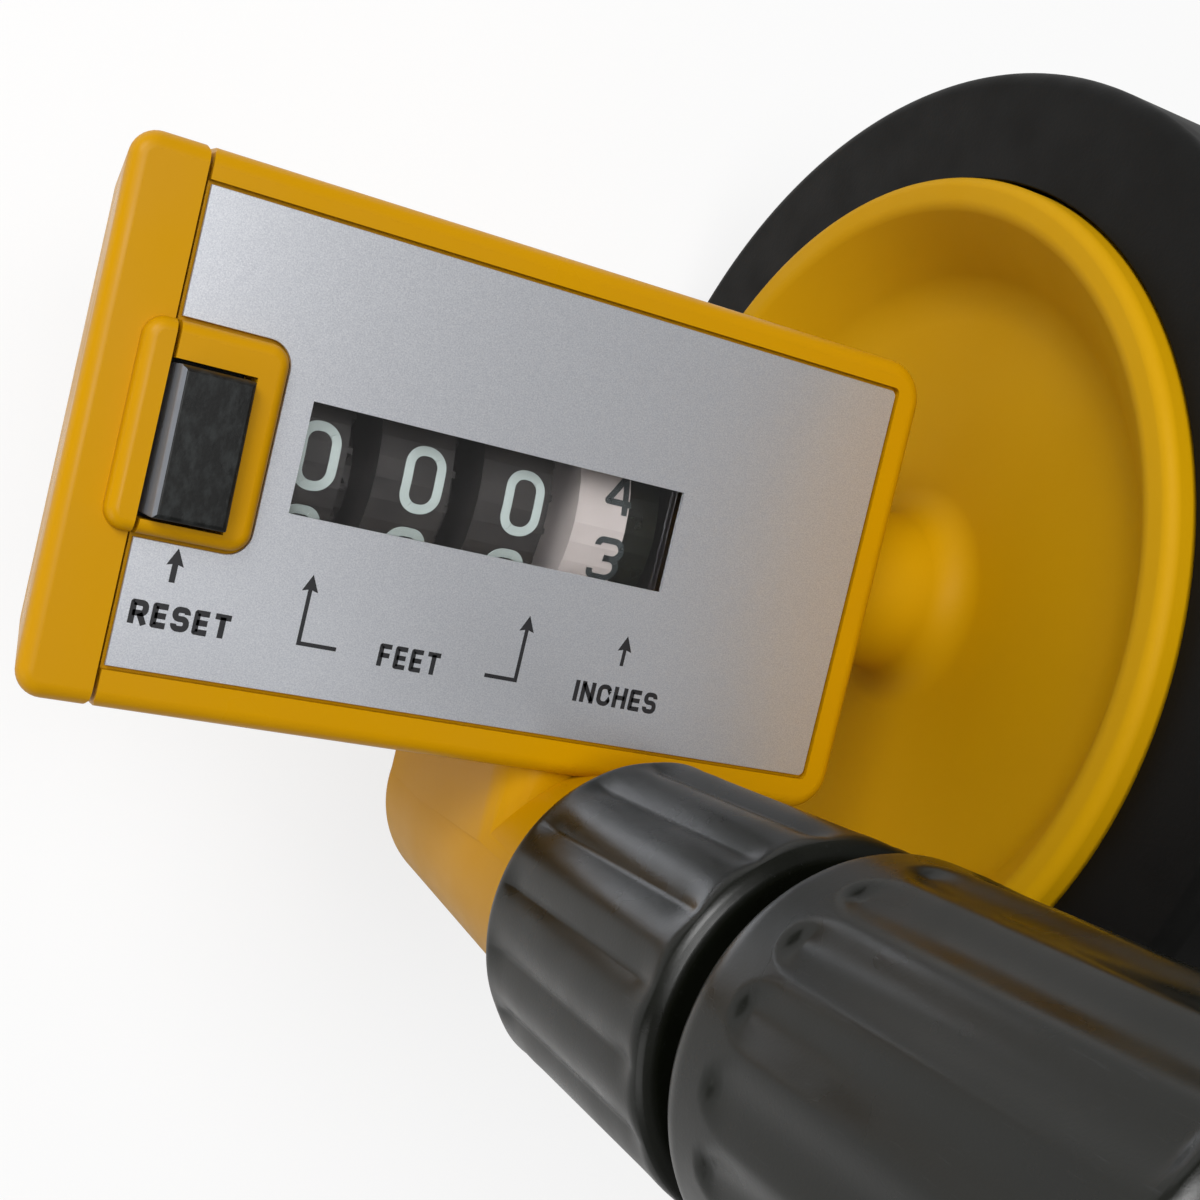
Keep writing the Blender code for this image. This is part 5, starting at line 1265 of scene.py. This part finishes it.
@dataclass
class Handle:
    """The telescopic handle: three tubes, two twist collars, a rubber grip and its plug."""

    tubes: tuple[tuple[str, str, Body, float, float, float, float], ...] = (
        ("inner_tube_drawn", "inner_tube", Body.HOUSING, 5.35, 6.35, -17.9, 345.0),
        ("middle_tube_drawn", "middle_tube", Body.MIDDLE, 8.5, 9.5, 15.0, 375.0),
        ("outer_tube_drawn", "outer_tube", Body.GRIP, 10.0, 11.2, 43.0, 398.0),
    )
    lower: tuple[float, ...] = (5.0, 30.5, 12.95, 13.85, 1.6, 6.65, 10.7, 9.8)
    upper: tuple[float, ...] = (33.0, 71.0, 14.2, 15.0, 2.6, 9.8, 12.2, 11.5)
    lip: float = 2.0
    flutes: int = 16
    flute_depth: float = 0.6
    flute_margin: float = 0.8
    flute_fade: float = 3.0
    ribs: int = 18
    rib_depth: float = 0.55
    rib_start: float = 5.0
    rib_round: float = 3.0
    rib_end: float = 1.5
    rib_power: float = 0.8
    inner_margin: float = 0.8
    grip_span: Pair = (288.0, 398.0)
    grip_r: Pair = (11.5, 14.9)
    grip_outside: float = 13.0
    ring_pitch: float = 6.0
    ring_half: float = 0.8
    ring_depth: float = 0.5
    plug: tuple[Triple, ...] = (
        (0.5, 386.0, 0.0), (9.7, 386.0, 0.3), (9.7, 398.3, 0.0), (14.9, 398.3, 0.4), (14.9, 401.5, 1.2),
        (0.5, 401.5, 0.0))

    def collar_section(self, sizes: tuple[float, ...]) -> Array:
        """A collar's section: a tapered outside, a lip at each end and room for the collet between them."""
        low, high, low_r, high_r, soft, bore, room, top_bore = sizes
        corners = [(bore, low), (low_r, low), (high_r, high), (top_bore, high), (top_bore, high - self.lip),
                   (room, high - self.lip), (room, low + self.lip), (bore, low + self.lip)]
        outline = fillet(corners, (0.2, soft, soft, 0.2, 0, 0, 0, 0.2), True, 12)
        return finer(np.concatenate([outline, outline[:1]]), 0.45)[:-1]

    def fluting(self, angle: Array, height: Array) -> Array:
        """Convex ribs with creases between them: depth * (1 - |cos(n angle / 2)|), faded in from each end."""
        low, high = self.lower[:2]
        margin, length = self.flute_margin, self.flute_fade
        fade = np.clip((height - low - margin) / length, 0, 1)
        fade = fade * np.clip((high - margin - height) / length, 0, 1)
        hollow = 1 - np.abs(np.cos(self.flutes * angle / 2))
        return -self.flute_depth * np.sin(fade * np.pi / 2) * hollow

    def ribbing(self, angle: Array, height: Array) -> Array:
        """Broad ribs with rounded starts: a wave round the collar, (1 + cos(n angle)) / 2 to a power below 1.

        The valleys between the ribs begin as rounded ends a few millimetres above the lower rim: near
        there the wave is read as if each rib were wider, by the distance that a circle's edge leaves.

        Args:
            angle: Angles about the axis.
            height: Heights along it.

        Returns:
            The change of the radius.
        """
        low, high = self.upper[:2]
        off = np.abs((self.ribs * angle / (2 * np.pi)) % 1 - 0.5) * 2
        into = np.clip((height - low - self.rib_start) / self.rib_round, 0, 1)
        opened = np.sqrt(np.clip(1 - (1 - into) ** 2, 1e-6, 1))
        wave = (1 + np.cos(np.pi * np.clip((1 - off) / opened, 0, 1))) / 2
        fade = np.clip(into * 3, 0, 1) * np.clip((high - self.rib_end - height) / self.rib_end, 0, 1)
        return -self.rib_depth * wave ** self.rib_power * fade * fade * (3 - 2 * fade)

    def outside_only(self, relief: Relief, section: Array, sizes: tuple[float, ...]) -> Relief:
        """Keep a relief off the collar's inside, where the radius is less than the room's plus a margin."""
        outer = (section[:, :1] > sizes[6] + self.inner_margin).astype(float)
        return lambda angle, height: relief(angle, height) * outer

    def collar(self, name: str, node: str, body: Body, sizes: tuple[float, ...], relief: Relief,
               steps: int) -> Piece:
        """One twist collar.

        Args:
            name: The piece's name.
            node: The CAD node that it stands for.
            body: Its body.
            sizes: Low end, high end, low radius, high radius, rounding, bore, room and top bore.
            relief: Its flutes or ribs.
            steps: Points round it.

        Returns:
            The piece.
        """
        section = self.collar_section(sizes)
        shell = turn(section, Along.N, (*HANDLE_AXIS, 0.0), Ends.LOOP, steps,
                     self.outside_only(relief, section, sizes))
        obj = make_object(name, shell)
        smooth(obj, 50)
        return publish(obj, BLACK_NYLON, body, Slot.COLLAR, node)

    def gripping(self, angle: Array, height: Array) -> Array:
        """Rings of the grip: grooves of a raised-cosine section at even steps, none near its ends."""
        low, high = self.grip_span
        pitch, half = self.ring_pitch, self.ring_half
        off = np.abs((height - low) % pitch - pitch / 2)
        groove = np.where(off < half, (1 + np.cos(np.pi * off / half)) / 2, 0.0)
        inside = ((height > low + pitch) & (height < high - pitch)).astype(float)
        return -self.ring_depth * groove * inside + 0 * angle

    def build(self) -> None:
        """Make tubes, collars, grip and plug."""
        centre = (*HANDLE_AXIS, 0.0)
        for name, node, body, inside, outside, low, high in self.tubes:
            corners = [(inside, low), (outside, low), (outside, high), (inside, high)]
            section = fillet(corners, (0.15,) * 4, True, 4)
            obj = make_object(name, turn(section, Along.N, centre, Ends.LOOP, 128))
            smooth(obj, 40, flats=True)
            publish(obj, COATED_TUBE, body, Slot.TUBE, node)
        self.collar("lower_collar_moulding", "lower_collar", Body.LOWER_COLLAR, self.lower, self.fluting, 320)
        self.collar("upper_collar_moulding", "upper_collar", Body.UPPER_COLLAR, self.upper, self.ribbing, 432)
        low, high = self.grip_span
        inside, outside = self.grip_r
        corners = [(inside, low), (outside, low), (outside, high), (inside, high)]
        outline = fillet(corners, (0.2, 2.5, 0.8, 0.2), True, 10)
        section = finer(np.concatenate([outline, outline[:1]]), 0.3)[:-1]
        outer = (section[:, :1] > self.grip_outside).astype(float)
        grip = turn(section, Along.N, centre, Ends.LOOP, 128, lambda a, h: self.gripping(a, h) * outer)
        obj = make_object("grip_moulding", grip)
        smooth(obj, 50)
        publish(obj, GRIP_RUBBER, Body.GRIP, Slot.GRIP, "grip")
        table = np.array(self.plug)
        plug = turn(fillet(table[:, :2], table[:, 2], False, 8), Along.N, centre)
        obj = make_object("grip_plug_moulding", plug)
        smooth(obj, 40, flats=True)
        publish(obj, BLACK_NYLON, Body.GRIP, Slot.COLLAR, "grip_plug")


@dataclass
class Hardware:
    """The parts that keep their CAD shape and get their real surface."""

    finishes: dict[str, Finish] = field(default_factory=lambda: {
        "window_lens": CLEAR_ACRYLIC, "inch_drum": DRUM_WHITE, "feet_ones_drum": DRUM_BLACK,
        "feet_tens_drum": DRUM_BLACK, "feet_hundreds_drum": DRUM_BLACK, "clutch_disc": BLACK_NYLON,
        "pinion_ones": ACETAL, "pinion_tens": ACETAL, "pinion_hundreds": ACETAL, "reset_rocker": ACETAL,
        "inner_guide_bush": ACETAL, "middle_guide_bush": ACETAL, "lower_collet": ACETAL,
        "upper_collet": ACETAL, "axle_bush": BRONZE,
        "frame_plate_left": BLACK_STEEL, "frame_plate_right": BLACK_STEEL,
    })

    def build(self) -> None:
        """Dress each CAD node that still shows. Those without a finish of their own are zinc-plated steel."""
        for name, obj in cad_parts.items():
            if obj.hide_render:
                continue
            finish = self.finishes.get(name, ZINC_STEEL)
            for place in obj.material_slots:
                place.material = finish.material()
            LOG.info("%s: %s", name, finish.name)


@dataclass
class Studio:
    """The floor, the light and the camera."""

    lens: float = 53.22
    sensor: float = 36.0
    camera_mm: Triple = (-61.4, 1.9, 119.2)
    right: Triple = (0.85101, 0.23123, 0.47150)
    down: Triple = (0.17533, -0.97143, 0.15993)
    forward: Triple = (0.49501, -0.05344, -0.86723)
    floor_size: float = 6.0
    floor_colour: str = "EDEDED"
    floor_white: float = 0.8
    sky: float = 0.18
    aim: Triple = (0.0, 0.0, 0.06)
    lamps: tuple[tuple[str, Triple, float, float], ...] = (
        ("top_softbox", (-0.2, 0.14, 0.92), 0.4, 4.2),
        ("key_softbox", (-0.5, 0.4, 0.6), 0.35, 4.4),
        ("fill_softbox", (-0.7, -0.5, 0.35), 0.5, 1.3),
    )

    def camera(self) -> None:
        """Stand the camera where the photograph was taken, by its three axes."""
        data = bpy.data.cameras.new("photo_camera")
        data.lens = self.lens
        data.sensor_width = self.sensor
        data.clip_start = 0.004
        data.clip_end = 50.0
        obj = bpy.data.objects.new("photo_camera", data)
        bpy.context.scene.collection.objects.link(obj)
        axes = np.column_stack([self.right, -np.array(self.down), -np.array(self.forward)])
        place = np.eye(4)
        place[:3, :3] = axes
        place[:3, 3] = DATUM.world(np.array(self.camera_mm))
        obj.matrix_world = Matrix(place.tolist())
        bpy.context.scene.camera = obj

    def white_to_camera(self, tree: Tree, plain: Socket, amount: float) -> Socket:
        """Show white to the camera and through glass, and the plain surface to everything else.

        Args:
            tree: The node tree.
            plain: The shader seen by other rays.
            amount: How much of the white is mixed in.

        Returns:
            The mixed shader.
        """
        ray = add_node(tree, "ShaderNodeLightPath").outputs
        either = add_node(tree, "ShaderNodeMath", {0: ray["Is Camera Ray"], 1: ray["Is Transmission Ray"]},
                          operation="MAXIMUM").outputs[0]
        share = add_node(tree, "ShaderNodeMath", {0: either, 1: amount}, operation="MULTIPLY").outputs[0]
        white = add_node(tree, "ShaderNodeEmission", {"Color": WHITE, "Strength": 1.0}).outputs[0]
        return add_node(tree, "ShaderNodeMixShader", {0: share, 1: plain, 2: white}).outputs["Shader"]

    def floor(self) -> None:
        """A wide pale floor under the tyre that keeps a faint shadow."""
        half = self.floor_size / 2
        mesh = bpy.data.meshes.new("studio_floor")
        corners = [(u, v, 0.0) for u, v in rectangle(-half, -half, half, half).tolist()]
        mesh.from_pydata(corners, [], [(0, 1, 2, 3)])
        obj = bpy.data.objects.new("studio_floor", mesh)
        bpy.context.scene.collection.objects.link(obj)
        paint = bpy.data.materials.new("matt_white_paper")
        paint.use_nodes = True
        tree = paint.node_tree
        shader = tree.nodes["Principled BSDF"]
        shader.inputs["Base Color"].default_value = srgb(self.floor_colour)
        shader.inputs["Roughness"].default_value = 0.9
        mixed = self.white_to_camera(tree, shader.outputs["BSDF"], self.floor_white)
        tree.links.new(mixed, tree.nodes["Material Output"].inputs["Surface"])
        mesh.materials.append(paint)

    def light(self) -> None:
        """Even sky light and three softboxes."""
        world = bpy.data.worlds.new("studio_world")
        world.use_nodes = True
        tree = world.node_tree
        plain = tree.nodes["Background"]
        plain.inputs["Color"].default_value = WHITE
        plain.inputs["Strength"].default_value = self.sky
        ray = add_node(tree, "ShaderNodeLightPath").outputs["Is Camera Ray"]
        white = add_node(tree, "ShaderNodeBackground", {"Color": WHITE, "Strength": 1.0})
        mix = add_node(tree, "ShaderNodeMixShader", {0: ray, 1: plain.outputs[0], 2: white.outputs[0]})
        tree.links.new(mix.outputs["Shader"], tree.nodes["World Output"].inputs["Surface"])
        bpy.context.scene.world = world
        target = Vector(self.aim)
        for name, place, size, power in self.lamps:
            data = bpy.data.lights.new(name, "AREA")
            data.shape = "SQUARE"
            data.size = size
            data.energy = power
            obj = bpy.data.objects.new(name, data)
            obj.location = place
            obj.rotation_mode = "QUATERNION"
            obj.rotation_quaternion = (target - Vector(place)).to_track_quat("-Z", "Y")
            bpy.context.scene.collection.objects.link(obj)

    def build(self) -> None:
        """Set the scene up."""
        bpy.context.scene.view_settings.view_transform = "Standard"
        self.floor()
        self.light()
        self.camera()


def main() -> None:
    """Build the object and the studio."""
    logging.basicConfig(level=logging.INFO, format="%(message)s")
    case = Case()
    for maker in (case, Label(case), Counter(), ResetButton(), Wheel(), Handle(), Hardware(), Studio()):
        LOG.info("building %s", type(maker).__name__)
        maker.build()


if __name__ == "__main__":
    main()
